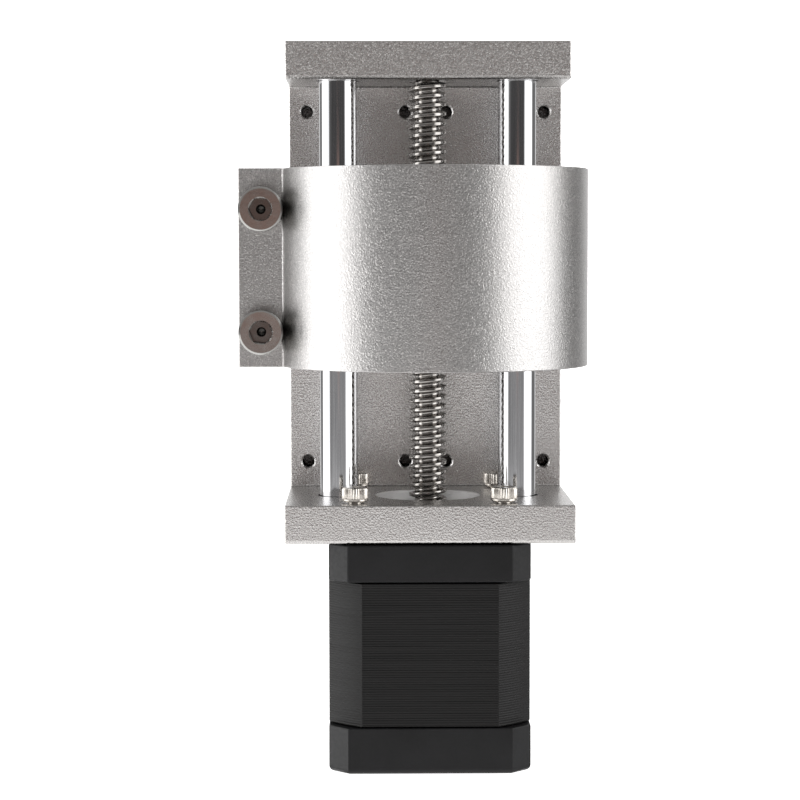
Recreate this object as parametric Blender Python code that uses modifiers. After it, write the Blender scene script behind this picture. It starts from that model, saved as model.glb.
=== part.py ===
"""Vertical axis module of a small CNC router.

A C-shaped aluminium channel holds two guide rods and a lead screw. A carriage with a ring clamp
for the spindle rides on the rods, driven by the screw, which is the shaft of the stepper motor
under the channel.

Run it with: blender --background --python part.py

Metres, +Z up, +X to the right as seen from the front, +Y to the back. The origin is the centre
of the channel's back face. "Ahead" is the distance in front of the screw's axis, along -Y.
"""
import math

import bmesh
import bpy
from mathutils import Matrix, Vector

# Clearances
seat_gap = 0.0003
thread_gap_radial = 0.0003
thread_gap_axial = 0.0002
cut_past = 0.001

# Channel
frame_width = 0.060
inner_height = 0.088
end_plate = 0.008
back_plate = 0.008
axis_to_back_plate = 0.019
base_plate_ahead = 0.021
top_plate_ahead = 0.0065
inner_fillet = 0.0008
frame_chamfer = 0.0005
pilot_hole_diameter = 0.022
mount_hole_diameter = 0.0034
back_hole_diameter = 0.0026
back_hole_sink = 0.0003
back_hole_spread_outer = 0.052
back_hole_spread_inner = 0.009
back_hole_inset = 0.0055

# Guide rods
rod_diameter = 0.008
rod_spacing = 0.038
rod_chamfer = 0.0005
grub_diameter = 0.003
grub_length = 0.005
grub_socket = 0.0015

# Lead screw, single start, right-handed
screw_diameter = 0.008
screw_pitch = 0.002
thread_depth = 0.00125
thread_crest = 0.00074
thread_root = 0.00062
shaft_diameter = 0.005
thread_steps = 10

# Ball bearings. A race's land is a share of its groove's radius, and a cage wire of the ball's.
top_bearing_outside = 0.010
top_bearing_width = 0.004
top_ball_radius = 0.0005
top_ball_count = 8
motor_bearing_outside = 0.016
motor_bearing_width = 0.005
motor_ball_radius = 0.0013
motor_ball_count = 7
race_land_share = 0.62
cage_wire_share = 0.35
washer_bore = 0.011
washer_thickness = 0.0003
washer_wave = 0.00025

# Stepper motor
motor_width = 0.042
front_bell_height = 0.008
stator_length = 0.030
rear_bell_height = 0.010
bell_chamfer = 0.004
stator_corner_radius = 0.0253
boss_diameter = 0.0214
boss_height = 0.002
motor_screw_spacing = 0.031
bell_cavity_radius = 0.0187
bell_end_wall = 0.001
rear_bell_edge = 0.0008
slot_radius = 0.0182
pole_count = 8
teeth_on_pole = 6
rotor_teeth = 50
rotor_radius = 0.0130
rotor_tooth_depth = 0.0006
air_gap = 0.0003
pole_shoe = 0.0016
pole_neck = 0.0044
rotor_cup_length = 0.0098
rotor_magnet_length = 0.0024
insulator_thickness = 0.0008
coil_side = 0.0023
coil_depth = 0.0020
coil_end_turn = 0.0020
coil_bend = 0.0014
socket_width = 0.0164
socket_height = 0.0066
socket_reach = 0.0040
socket_wall = 0.0008
socket_pins = 6
pin_pitch = 0.0020
pin_side = 0.0005

# Screws for the plates, the motor and the clamp
m3_diameter = 0.003
m3_head_diameter = 0.0055
m3_head_height = 0.003
m3_socket = 0.0025
motor_screw_length = 0.012
case_screw_head = 0.0018
m5_diameter = 0.005
m5_head_diameter = 0.0085
m5_head_height = 0.005
m5_socket = 0.004
clamp_screw_length = 0.018
hole_allowance = 0.0003

# Carriage
clamp_height = 0.038
carriage_rest = -0.01385
ring_bore_diameter = 0.052
ring_wall = 0.004
ring_sink = 0.002
block_behind = 0.0115
block_ahead = 0.020
block_fillet = 0.004
block_corner = 0.001
ear_beyond_ring = 0.0076
ear_front = 0.008
ear_back = 0.011
ear_slit = 0.002
ear_fillet = 0.0005
ear_corner = 0.0003
clamp_bolt_beyond_ring = 0.003
clamp_bolt_spacing = 0.0233
clamp_bolt_drop = 0.0005
sleeve_diameter = 0.015
sleeve_length = 0.024
sleeve_shoulder = 0.0031
sleeve_groove = 0.0004
sleeve_groove_width = 0.0011
cage_wall = 0.0019
ring_clip_thickness = 0.001
ring_clip_wall = 0.0016
nut_diameter = 0.014
nut_length = 0.020
nut_chamfer = 0.0005
nut_grub_diameter = 0.004
nut_grub_socket = 0.002
nut_grub_spacing = 0.012

# Facets of round pieces
fine_steps = 24
round_steps = 24
race_steps = 14
small_steps = 8

# Places worked out from the sizes
axis_y = -(back_plate + axis_to_back_plate)
inner_top = inner_height / 2
inner_bottom = -inner_height / 2
top_face = inner_top + end_plate
base_face = inner_bottom - end_plate
rod_radius = rod_diameter / 2
rod_x = rod_spacing / 2
screw_radius = screw_diameter / 2
shaft_radius = shaft_diameter / 2
root_radius = screw_radius - thread_depth
bell_top = base_face - seat_gap
bell_bottom = base_face - front_bell_height
stator_top = bell_bottom - seat_gap
stator_bottom = bell_bottom - stator_length
rear_top = stator_bottom - seat_gap
rear_bottom = stator_bottom - rear_bell_height
carriage_top = carriage_rest + clamp_height
carriage_middle = carriage_rest + clamp_height / 2
ring_radius = ring_bore_diameter / 2 + ring_wall
ring_ahead = block_ahead - ring_sink + ring_bore_diameter / 2
block_width = 2 * ring_radius
ear_reach = ring_radius + ear_beyond_ring
clamp_bolt_x = ring_radius + clamp_bolt_beyond_ring
thread_flank = (screw_pitch - thread_crest - thread_root) / 2
front_cavity = coil_end_turn + insulator_thickness + 4 * seat_gap
screw_hole_radius = m3_diameter / 2 + hole_allowance
front_bearing_low = bell_top + boss_height - bell_end_wall - 2 * seat_gap - motor_bearing_width
rear_bearing_low = (rear_bottom + bell_end_wall + seat_gap + washer_thickness + 2 * washer_wave
                    + seat_gap)


def clear_scene():
    for old in list(bpy.data.objects):
        bpy.data.objects.remove(old, do_unlink=True)


def new_collection(name):
    home = bpy.data.collections.new(name)
    bpy.context.scene.collection.children.link(home)
    return home


def paint(name, colour, roughness, metallic):
    material = bpy.data.materials.new(name)
    material.use_nodes = True
    shader = material.node_tree.nodes["Principled BSDF"]
    shader.inputs["Base Color"].default_value = (*colour, 1.0)
    shader.inputs["Roughness"].default_value = roughness
    shader.inputs["Metallic"].default_value = metallic
    return material


clear_scene()
module = new_collection("cnc_z_axis_module")
cutters = new_collection("cutters")
blasted_aluminium = paint("blasted_aluminium", (0.36, 0.35, 0.34), 0.42, 1.0)
polished_steel = paint("polished_steel", (0.62, 0.61, 0.60), 0.12, 1.0)
screw_steel = paint("screw_steel", (0.55, 0.52, 0.49), 0.22, 1.0)
bearing_steel = paint("bearing_steel", (0.60, 0.60, 0.60), 0.20, 1.0)
nickel = paint("nickel", (0.62, 0.58, 0.52), 0.25, 1.0)
black_steel = paint("black_steel", (0.03, 0.03, 0.03), 0.40, 1.0)
black_casting = paint("black_casting", (0.015, 0.015, 0.016), 0.50, 0.0)
black_laminations = paint("black_laminations", (0.02, 0.02, 0.02), 0.45, 0.3)
rotor_steel = paint("rotor_steel", (0.45, 0.45, 0.46), 0.35, 1.0)
magnet = paint("magnet", (0.20, 0.20, 0.21), 0.40, 0.8)
copper_wire = paint("copper_wire", (0.65, 0.27, 0.12), 0.35, 1.0)
brass = paint("brass", (0.72, 0.52, 0.22), 0.28, 1.0)
dark_plastic = paint("dark_plastic", (0.05, 0.05, 0.05), 0.50, 0.0)
ivory_plastic = paint("ivory_plastic", (0.80, 0.77, 0.68), 0.45, 0.0)


def pivot(name):
    """An empty on the screw's axis, which carries the pieces of one moving body."""
    empty = bpy.data.objects.new(name, None)
    empty.location = (0.0, axis_y, 0.0)
    empty.empty_display_size = 0.02
    module.objects.link(empty)
    return empty


screw_pivot = pivot("screw_axis")
carriage_pivot = pivot("carriage_axis")
bpy.context.view_layer.update()


def settle(obj, material, parent=None):
    """Give a finished piece its material, its shading and the body that carries it."""
    obj.data.materials.clear()
    obj.data.materials.append(material)
    obj.data.shade_smooth()
    obj.data.set_sharp_from_angle(angle=math.radians(35))
    if parent is not None:
        bpy.context.view_layer.update()
        world = obj.matrix_world.copy()
        obj.parent = parent
        obj.matrix_parent_inverse = parent.matrix_world.inverted()
        obj.matrix_world = world
    return obj


def add(name, mesh, home=module):
    obj = bpy.data.objects.new(name, mesh)
    home.objects.link(obj)
    return obj


def as_guide(obj):
    """Keep a cutter out of the model."""
    for home in list(obj.users_collection):
        home.objects.unlink(obj)
    cutters.objects.link(obj)
    obj.hide_render = True
    obj.display_type = "WIRE"
    return obj


def frozen(obj, name):
    """The evaluated mesh of an object in world space; the object itself is removed."""
    bpy.context.view_layer.update()
    graph = bpy.context.evaluated_depsgraph_get()
    mesh = bpy.data.meshes.new_from_object(obj.evaluated_get(graph))
    mesh.transform(obj.matrix_world)
    mesh.name = name
    bpy.data.objects.remove(obj, do_unlink=True)
    return mesh


def pattern(name, mesh, places):
    """One cutter, or one guide, with a separate shell at each of the places."""
    shells = bmesh.new()
    for place in places:
        copy = mesh.copy()
        copy.transform(place)
        shells.from_mesh(copy)
        bpy.data.meshes.remove(copy)
    group = bpy.data.meshes.new(name)
    shells.to_mesh(group)
    shells.free()
    bpy.data.meshes.remove(mesh)
    return add(name, group)


def copies(prefix, mesh, places, material, parent=None):
    """A piece of its own at each of the named places, all with one mesh."""
    for place_name, place in places.items():
        obj = add(prefix + "_" + place_name, mesh)
        obj.matrix_world = place
        settle(obj, material, parent)


def cut(obj, cutter, operation="DIFFERENCE"):
    """Cut one object by another, or join them where the operation is UNION."""
    as_guide(cutter)
    knife = obj.modifiers.new(cutter.name, "BOOLEAN")
    knife.object = cutter
    knife.operation = operation
    knife.solver = "EXACT"
    return obj


def block(name, low, high, home=module):
    """A box between two corners."""
    low, high = Vector(low), Vector(high)
    cube = bmesh.new()
    bmesh.ops.create_cube(cube, size=1.0)
    bmesh.ops.scale(cube, vec=high - low, verts=cube.verts)
    bmesh.ops.translate(cube, vec=(low + high) / 2, verts=cube.verts)
    mesh = bpy.data.meshes.new(name)
    cube.to_mesh(mesh)
    cube.free()
    return add(name, mesh, home)


def turned(name, profile, steps, closed=False, home=module):
    """Turn a profile of (radius, height) points about Z. Its outer side runs top to bottom."""
    mesh = bpy.data.meshes.new(name)
    edges = [(i, i + 1) for i in range(len(profile) - 1)]
    if closed:
        edges.append((len(profile) - 1, 0))
    mesh.from_pydata([(radius, 0.0, height) for radius, height in profile], edges, [])
    obj = add(name, mesh, home)
    lathe = obj.modifiers.new("turn", "SCREW")
    lathe.steps = steps
    lathe.render_steps = steps
    lathe.use_merge_vertices = True
    lathe.merge_threshold = 0.00001
    return obj


def ring_profile(inner, outer, low, high):
    return [(outer, high), (outer, low), (inner, low), (inner, high)]


def rod_profile(radius, low, high, chamfer=0.0):
    if chamfer == 0.0:
        return [(0.0, high), (radius, high), (radius, low), (0.0, low)]
    return [(0.0, high), (radius - chamfer, high), (radius, high - chamfer),
            (radius, low + chamfer), (radius - chamfer, low), (0.0, low)]


def prism(name, loops, low, high, home=module):
    """Extrude a flat outline with its holes along Z, from low to high."""
    curve = bpy.data.curves.new(name, "CURVE")
    curve.dimensions = "2D"
    curve.fill_mode = "BOTH"
    curve.extrude = (high - low) / 2
    for loop in loops:
        spline = curve.splines.new("POLY")
        spline.points.add(len(loop) - 1)
        for point, (x, y) in zip(spline.points, loop):
            point.co = (x, y, 0.0, 1.0)
        spline.use_cyclic_u = True
    flat = bpy.data.objects.new(name + "_outline", curve)
    flat.location = (0.0, 0.0, (low + high) / 2)
    home.objects.link(flat)
    bpy.context.view_layer.update()
    graph = bpy.context.evaluated_depsgraph_get()
    mesh = bpy.data.meshes.new_from_object(flat.evaluated_get(graph))
    solid = bmesh.new()
    solid.from_mesh(mesh)
    bmesh.ops.remove_doubles(solid, verts=solid.verts, dist=0.0000005)
    bmesh.ops.recalc_face_normals(solid, faces=solid.faces)
    solid.to_mesh(mesh)
    solid.free()
    mesh.name = name
    obj = add(name, mesh, home)
    obj.matrix_world = flat.matrix_world
    bpy.data.objects.remove(flat, do_unlink=True)
    bpy.data.curves.remove(curve)
    return obj


def arc(centre, radius, start, end, count):
    """Points along an arc, with its angles in degrees."""
    angles = [math.radians(start + (end - start) * i / (count - 1)) for i in range(count)]
    return [(centre[0] + radius * math.cos(a), centre[1] + radius * math.sin(a)) for a in angles]


def circle(centre, radius, count):
    return arc(centre, radius, 0.0, 360.0 * (1 - 1 / count), count)


def circle_point(radius, angle):
    return [(radius * math.cos(math.radians(angle)), radius * math.sin(math.radians(angle)))]


def at_axis(height=0.0):
    return Matrix.Translation((0.0, axis_y, height))


def corners_of_square(spacing, height=0.0):
    half = spacing / 2
    return {depth + "_" + side: at_axis(height) @ Matrix.Translation((x, y, 0.0))
            for side, x in (("left", -half), ("right", half))
            for depth, y in (("front", -half), ("rear", half))}


# The screws and their heads

def cap_screw(name, radius, length, head_radius, head_height, socket, steps=small_steps):
    """A socket head screw along Z with the head's seat at zero, the shank below."""
    rim = head_radius * 0.1
    screw = turned(name, [(0.0, head_height), (head_radius - rim, head_height),
                          (head_radius, head_height - rim), (head_radius, 0.0), (radius, 0.0),
                          (radius, -length), (0.0, -length)], steps)
    hexagon = socket / math.sqrt(3.0)
    cut(screw, turned(name + "_hex", rod_profile(hexagon, head_height / 2, head_height * 2), 6))
    return frozen(screw, name)


def grub_screw(name, radius, length, socket):
    """A headless screw along Z with its open end at zero, the point below."""
    point = radius * 0.4
    screw = turned(name, [(0.0, 0.0), (radius, 0.0), (radius, -length + point),
                          (radius - point, -length), (0.0, -length)], small_steps)
    hexagon = socket / math.sqrt(3.0)
    cut(screw, turned(name + "_hex", rod_profile(hexagon, -length * 0.4, length), 6))
    return frozen(screw, name)


# The channel: one extrusion with both end plates, then its holes

def build_channel():
    front_of_back = -back_plate
    top_front = axis_y - top_plate_ahead
    base_front = axis_y - base_plate_ahead
    round_top = arc((front_of_back - inner_fillet, inner_top - inner_fillet), inner_fillet, 90, 0, 3)
    round_base = arc((front_of_back - inner_fillet, inner_bottom + inner_fillet), inner_fillet, 0, -90, 3)
    outline = [(0.0, base_face), (0.0, top_face), (top_front, top_face), (top_front, inner_top)]
    outline += round_top + round_base
    outline += [(base_front, inner_bottom), (base_front, base_face)]
    half = frame_width / 2
    channel = prism("frame_channel", [outline], -half, half)
    channel.data.transform(Matrix(((0, 0, 1, 0), (1, 0, 0, 0), (0, 1, 0, 0), (0, 0, 0, 1))))
    bevel = channel.modifiers.new("edges", "BEVEL")
    bevel.width = frame_chamfer
    bevel.segments = 1
    bevel.limit_method = "ANGLE"
    bevel.angle_limit = math.radians(60)

    clear = end_plate * 1.2
    rod_hole = turned("rod_hole", rod_profile(rod_radius + seat_gap, base_face - clear,
                                              top_face + clear), round_steps)
    cut(channel, pattern("rod_holes", frozen(rod_hole, "rod_hole"),
                         [at_axis() @ Matrix.Translation((x, 0.0, 0.0)) for x in (-rod_x, rod_x)]))
    pilot = turned("pilot_hole", rod_profile(pilot_hole_diameter / 2, base_face - clear,
                                             inner_bottom + clear), fine_steps)
    pilot.location = (0.0, axis_y, 0.0)
    cut(channel, pilot)
    mount_hole = turned("mount_hole", rod_profile(mount_hole_diameter / 2, base_face - clear,
                                                  inner_bottom + clear), small_steps)
    cut(channel, pattern("mount_holes", frozen(mount_hole, "mount_hole"),
                         corners_of_square(motor_screw_spacing).values()))

    seat_radius = top_bearing_outside / 2 + seat_gap
    seat_top = inner_top + 2 * seat_gap + top_bearing_width
    end_hole = shaft_radius + 3 * seat_gap
    seat = turned("top_bearing_seat", [(0.0, top_face + clear), (end_hole, top_face + clear),
                                       (end_hole, seat_top), (seat_radius, seat_top),
                                       (seat_radius, inner_top - clear),
                                       (0.0, inner_top - clear)], round_steps)
    seat.location = (0.0, axis_y, 0.0)
    cut(channel, seat)

    core = back_hole_diameter / 2
    rim = core + back_hole_sink
    back_hole = turned("back_hole", [(0.0, clear), (rim, clear), (rim, 0.0), (core, -back_hole_sink),
                                     (core, -2 * clear), (0.0, -2 * clear)], small_steps)
    turn_back = Matrix.Rotation(math.radians(90), 4, "X")
    height = inner_top - back_hole_inset
    places = [Matrix.Translation((side * spread / 2, -back_plate, level)) @ turn_back
              for spread in (back_hole_spread_outer, back_hole_spread_inner)
              for side in (-1, 1) for level in (-height, height)]
    cut(channel, pattern("back_holes", frozen(back_hole, "back_hole"), places))

    grub_hole = turned("grub_hole", rod_profile(grub_diameter / 2 + hole_allowance, rod_x,
                                                half + clear), small_steps)
    cut(channel, pattern("grub_holes", frozen(grub_hole, "grub_hole"), grub_places().values()))
    settle(channel, blasted_aluminium)


def grub_places():
    """From Z to the four sideways screws at the middle of the end plates."""
    levels = {"top": inner_top + end_plate / 2, "base": inner_bottom - end_plate / 2}
    turns = {"left": Matrix.Rotation(math.radians(-90), 4, "Y"),
             "right": Matrix.Rotation(math.radians(90), 4, "Y")}
    return {plate + "_" + side: at_axis(level) @ turn
            for plate, level in levels.items() for side, turn in turns.items()}


def build_rods():
    for name, x in (("guide_rod_left", -rod_x), ("guide_rod_right", rod_x)):
        rod = turned(name, rod_profile(rod_radius, base_face + seat_gap, top_face - seat_gap,
                                       rod_chamfer), round_steps)
        rod.location = (x, axis_y, 0.0)
        settle(rod, polished_steel)
    grub = grub_screw("grub", grub_diameter / 2, grub_length, grub_socket)
    grub.transform(Matrix.Translation((0.0, 0.0, rod_x + rod_radius + seat_gap + grub_length)))
    copies("rod_set_screw", grub, grub_places(), black_steel)


# Ball bearings

def build_bearing(prefix, outside, width, ball, count, low):
    """Both races with their grooves, and the balls with the wire ring that spaces them."""
    inner_edge = shaft_radius + seat_gap
    outer_edge = outside / 2
    middle = (inner_edge + outer_edge) / 2
    groove = ball + seat_gap
    land = groove * race_land_share
    spread = math.degrees(math.acos(land / groove))
    centre = (middle, low + width / 2)
    inner_groove = arc(centre, groove, 180 - spread, 180 + spread, 3)
    inner = turned(prefix + "_inner_race", [(inner_edge, low + width), (middle - land, low + width)]
                   + inner_groove + [(middle - land, low), (inner_edge, low)], race_steps, closed=True)
    inner.location = (0.0, axis_y, 0.0)
    settle(inner, bearing_steel, screw_pivot)
    outer_groove = arc(centre, groove, -spread, spread, 3)
    outer = turned(prefix + "_outer_race", [(outer_edge, low + width), (outer_edge, low),
                                            (middle + land, low)] + outer_groove
                   + [(middle + land, low + width)], race_steps, closed=True)
    outer.location = (0.0, axis_y, 0.0)
    settle(outer, bearing_steel)
    sphere = bmesh.new()
    bmesh.ops.create_icosphere(sphere, subdivisions=1, radius=ball)
    mesh = bpy.data.meshes.new(prefix + "_ball")
    sphere.to_mesh(mesh)
    sphere.free()
    places = [at_axis(low + width / 2) @ Matrix.Rotation(math.tau * i / count, 4, "Z")
              @ Matrix.Translation((middle, 0.0, 0.0)) for i in range(count)]
    wire = ball * cage_wire_share
    cage = turned(prefix + "_balls", ring_profile(middle - wire, middle + wire, -wire, wire),
                  count, closed=True)
    cage.location = (0.0, axis_y, low + width / 2)
    cut(cage, pattern(prefix + "_ball_pattern", mesh, places), "UNION")
    settle(cage, bearing_steel)


# The lead screw and its nut share one thread form

def thread_mesh(name, low, high, crest_radius, valley_radius, crest, flank, middle):
    """A closed right-handed thread between two heights, with a crest of the width given.

    One pitch of the profile is swept up a helix that passes the height called middle, and the
    sweep is cut off square at both ends.
    """
    half_crest = crest / 2
    half_foot = half_crest + flank
    profile = [(valley_radius, half_foot), (crest_radius, half_crest),
               (crest_radius, -half_crest), (valley_radius, -half_foot),
               (valley_radius, half_foot - screw_pitch)]
    turns_below = math.ceil((middle - low) / screw_pitch) + 2
    turns_above = math.ceil((high - middle) / screw_pitch) + 2
    mesh = bpy.data.meshes.new(name)
    start = middle - turns_below * screw_pitch
    mesh.from_pydata([(radius, 0.0, start + height) for radius, height in profile],
                     [(i, i + 1) for i in range(len(profile) - 1)], [])
    sweep = add(name + "_sweep", mesh)
    helix = sweep.modifiers.new("helix", "SCREW")
    helix.steps = thread_steps
    helix.render_steps = thread_steps
    helix.screw_offset = screw_pitch
    helix.iterations = turns_below + turns_above
    solid = bmesh.new()
    solid.from_mesh(frozen(sweep, name + "_swept"))
    bmesh.ops.remove_doubles(solid, verts=solid.verts, dist=0.000001)
    for height, up in ((low, -1.0), (high, 1.0)):
        everything = solid.verts[:] + solid.edges[:] + solid.faces[:]
        bmesh.ops.bisect_plane(solid, geom=everything, plane_co=(0.0, 0.0, height),
                               plane_no=(0.0, 0.0, up), clear_outer=True)
        rim = [e for e in solid.edges if e.is_boundary
               and all(abs(v.co.z - height) < 0.000001 for v in e.verts)]
        bmesh.ops.edgeloop_fill(solid, edges=rim)
    bmesh.ops.recalc_face_normals(solid, faces=solid.faces)
    whole = bpy.data.meshes.new(name)
    solid.to_mesh(whole)
    solid.free()
    return whole


def build_lead_screw():
    thread_low = bell_top + boss_height + 2 * seat_gap
    thread_high = inner_top - seat_gap
    mesh = thread_mesh("lead_screw", thread_low, thread_high, screw_radius, root_radius,
                       thread_crest, thread_flank, carriage_middle)
    screw = add("lead_screw", mesh)
    screw.location = (0.0, axis_y, 0.0)
    overlap = screw_pitch
    tail = turned("screw_tail", rod_profile(shaft_radius, rear_bearing_low, thread_low + overlap),
                  small_steps + 4)
    tail.location = (0.0, axis_y, 0.0)
    cut(screw, tail, "UNION")
    journal_top = inner_top + seat_gap + top_bearing_width + seat_gap
    tip = turned("screw_tip", [(0.0, journal_top), (shaft_radius - rod_chamfer, journal_top),
                               (shaft_radius, journal_top - rod_chamfer),
                               (shaft_radius, thread_high - overlap), (0.0, thread_high - overlap)],
                 small_steps + 4)
    tip.location = (0.0, axis_y, 0.0)
    cut(screw, tip, "UNION")
    settle(screw, screw_steel, screw_pivot)


def build_nut():
    low = carriage_middle - nut_length / 2
    high = carriage_middle + nut_length / 2
    nut = turned("lead_nut", rod_profile(nut_diameter / 2, low, high, nut_chamfer), round_steps)
    nut.location = (0.0, axis_y, 0.0)
    past = screw_pitch
    tap = add("nut_thread", thread_mesh("nut_thread", low - past, high + past,
                                        screw_radius + thread_gap_radial,
                                        root_radius + thread_gap_radial,
                                        thread_crest + 2 * thread_gap_axial, thread_flank,
                                        carriage_middle))
    tap.location = (0.0, axis_y, 0.0)
    cut(nut, tap)
    settle(nut, brass, carriage_pivot)


# The stepper motor

def square_with_chamfers(half, chamfer):
    long = half
    short = half - chamfer
    return [(long, -short), (long, short), (short, long), (-short, long),
            (-long, short), (-long, -short), (-short, -long), (short, -long)]


def build_front_bell():
    bell = prism("motor_front_bell", [square_with_chamfers(motor_width / 2, bell_chamfer)],
                 bell_bottom, bell_top)
    bell.data.transform(Matrix.Translation((0.0, axis_y, 0.0)))
    boss = turned("boss", rod_profile(boss_diameter / 2, (bell_top + bell_bottom) / 2,
                                      bell_top + boss_height), fine_steps)
    boss.location = (0.0, axis_y, 0.0)
    cut(bell, boss, "UNION")
    pocket = motor_bearing_outside / 2 + seat_gap
    pocket_top = front_bearing_low + motor_bearing_width + seat_gap
    shaft_hole = shaft_radius + 3 * seat_gap
    cavity_top = bell_bottom + front_cavity
    inside = turned("front_inside", [
        (0.0, bell_top + boss_height + cut_past), (shaft_hole, bell_top + boss_height + cut_past),
        (shaft_hole, pocket_top), (pocket, pocket_top), (pocket, cavity_top),
        (bell_cavity_radius, cavity_top), (bell_cavity_radius, bell_bottom - cut_past),
        (0.0, bell_bottom - cut_past)], fine_steps)
    inside.location = (0.0, axis_y, 0.0)
    cut(bell, inside)
    hole = turned("front_screw_hole", rod_profile(screw_hole_radius, bell_bottom - cut_past,
                                                  bell_top + cut_past), small_steps)
    cut(bell, pattern("front_screw_holes", frozen(hole, "hole"),
                      corners_of_square(motor_screw_spacing).values()))
    settle(bell, black_casting)


def build_stator():
    half = motor_width / 2
    corner = math.degrees(math.acos(half / stator_corner_radius))
    outer = []
    for quarter in range(4):
        outer += arc((0.0, 0.0), stator_corner_radius, quarter * 90 + corner,
                     quarter * 90 + 90 - corner, 5)
    bore = rotor_radius + air_gap
    valley = bore + rotor_tooth_depth
    shoe_back = bore + pole_shoe
    tooth = 360.0 / rotor_teeth
    pole_step = 360.0 / pole_count
    shoe_half = (teeth_on_pole - 0.5) * tooth / 2
    neck_at_slot = math.degrees(math.asin(pole_neck / 2 / slot_radius))
    neck_at_shoe = math.degrees(math.asin(pole_neck / 2 / shoe_back))
    inner = []
    for pole in range(pole_count):
        middle = pole * pole_step
        inner += arc((0.0, 0.0), slot_radius, middle - pole_step + neck_at_slot,
                     middle - neck_at_slot, 4)
        inner += arc((0.0, 0.0), shoe_back, middle - neck_at_shoe, middle - shoe_half, 2)
        for index in range(teeth_on_pole):
            centre = middle + (index - (teeth_on_pole - 1) / 2) * tooth
            inner += arc((0.0, 0.0), bore, centre - tooth / 4, centre + tooth / 4, 2)
            if index < teeth_on_pole - 1:
                inner += circle_point(valley, centre + tooth / 2)
        inner += arc((0.0, 0.0), shoe_back, middle + shoe_half, middle + neck_at_shoe, 2)
    reach = motor_screw_spacing / 2
    holes = [circle((x, y), screw_hole_radius, small_steps)
             for x in (-reach, reach) for y in (-reach, reach)]
    stator = prism("motor_stator", [outer, inner] + holes, stator_bottom, stator_top)
    stator.data.transform(Matrix.Translation((0.0, axis_y, 0.0)))
    settle(stator, black_laminations)


def build_windings():
    """An insulator on each end of the stator, and a coil round each pole."""
    ring_inner = rotor_radius + air_gap + rotor_tooth_depth
    ring_outer = rotor_radius + air_gap + pole_shoe
    arm_end = slot_radius - seat_gap
    arm = pole_neck / 2
    at_ring = math.degrees(math.asin(arm / ring_outer))
    at_end = math.degrees(math.asin(arm / arm_end))
    star = []
    for pole in range(pole_count):
        middle = pole * 360.0 / pole_count
        star += arc((0.0, 0.0), arm_end, middle - at_end, middle + at_end, 2)
        star += arc((0.0, 0.0), ring_outer, middle + at_ring,
                    middle + 360.0 / pole_count - at_ring, 4)
    hole = circle((0.0, 0.0), ring_inner, round_steps)
    for name, low in (("motor_front_insulator", stator_top + seat_gap),
                      ("motor_rear_insulator", stator_bottom - seat_gap - insulator_thickness)):
        insulator = prism(name, [star, hole], low, low + insulator_thickness)
        insulator.data.transform(Matrix.Translation((0.0, axis_y, 0.0)))
        settle(insulator, ivory_plastic)

    inner_x = arm + seat_gap
    outer_x = inner_x + coil_side
    inner_z = (stator_top - stator_bottom) / 2 + 2 * seat_gap + insulator_thickness
    outer_z = inner_z + coil_end_turn
    outer = []
    for x, z, start in ((1, 1, 0), (-1, 1, 90), (-1, -1, 180), (1, -1, 270)):
        outer += arc((x * (outer_x - coil_bend), z * (outer_z - coil_bend)), coil_bend,
                     start, start + 90, 3)
    inner = [(inner_x, inner_z), (-inner_x, inner_z), (-inner_x, -inner_z), (inner_x, -inner_z)]
    foot = ring_outer + seat_gap
    coil = frozen(prism("coil", [outer, inner], foot, foot + coil_depth), "coil")
    upright = Matrix(((0, 0, 1, 0), (1, 0, 0, 0), (0, 1, 0, 0), (0, 0, 0, 1)))
    places = {str(pole + 1): at_axis((stator_top + stator_bottom) / 2)
              @ Matrix.Rotation(math.tau * pole / pole_count, 4, "Z") @ upright
              for pole in range(pole_count)}
    copies("motor_coil", coil, places, copper_wire)


def build_rotor():
    """Two toothed cups with a magnet between them. Their teeth are half a pitch apart."""
    middle = (stator_top + stator_bottom) / 2
    tooth = 360.0 / rotor_teeth
    valley = rotor_radius - rotor_tooth_depth
    bore = circle((0.0, 0.0), shaft_radius + seat_gap, small_steps)
    start = middle + rotor_magnet_length / 2 + seat_gap
    for name, low, shift in (("rotor_front_cup", start, 0.0),
                             ("rotor_rear_cup", 2 * middle - start - rotor_cup_length, tooth / 2)):
        outer = []
        for index in range(rotor_teeth):
            centre = shift + index * tooth
            outer += arc((0.0, 0.0), rotor_radius, centre - tooth / 5, centre + tooth / 5, 2)
            outer += circle_point(valley, centre + tooth / 2)
        cup = prism(name, [outer, bore], low, low + rotor_cup_length)
        cup.data.transform(Matrix.Translation((0.0, axis_y, 0.0)))
        settle(cup, rotor_steel, screw_pivot)
    disc = turned("rotor_magnet", ring_profile(shaft_radius + seat_gap, valley - rotor_tooth_depth,
                                               middle - rotor_magnet_length / 2,
                                               middle + rotor_magnet_length / 2),
                  race_steps, closed=True)
    disc.location = (0.0, axis_y, 0.0)
    settle(disc, magnet, screw_pivot)


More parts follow.
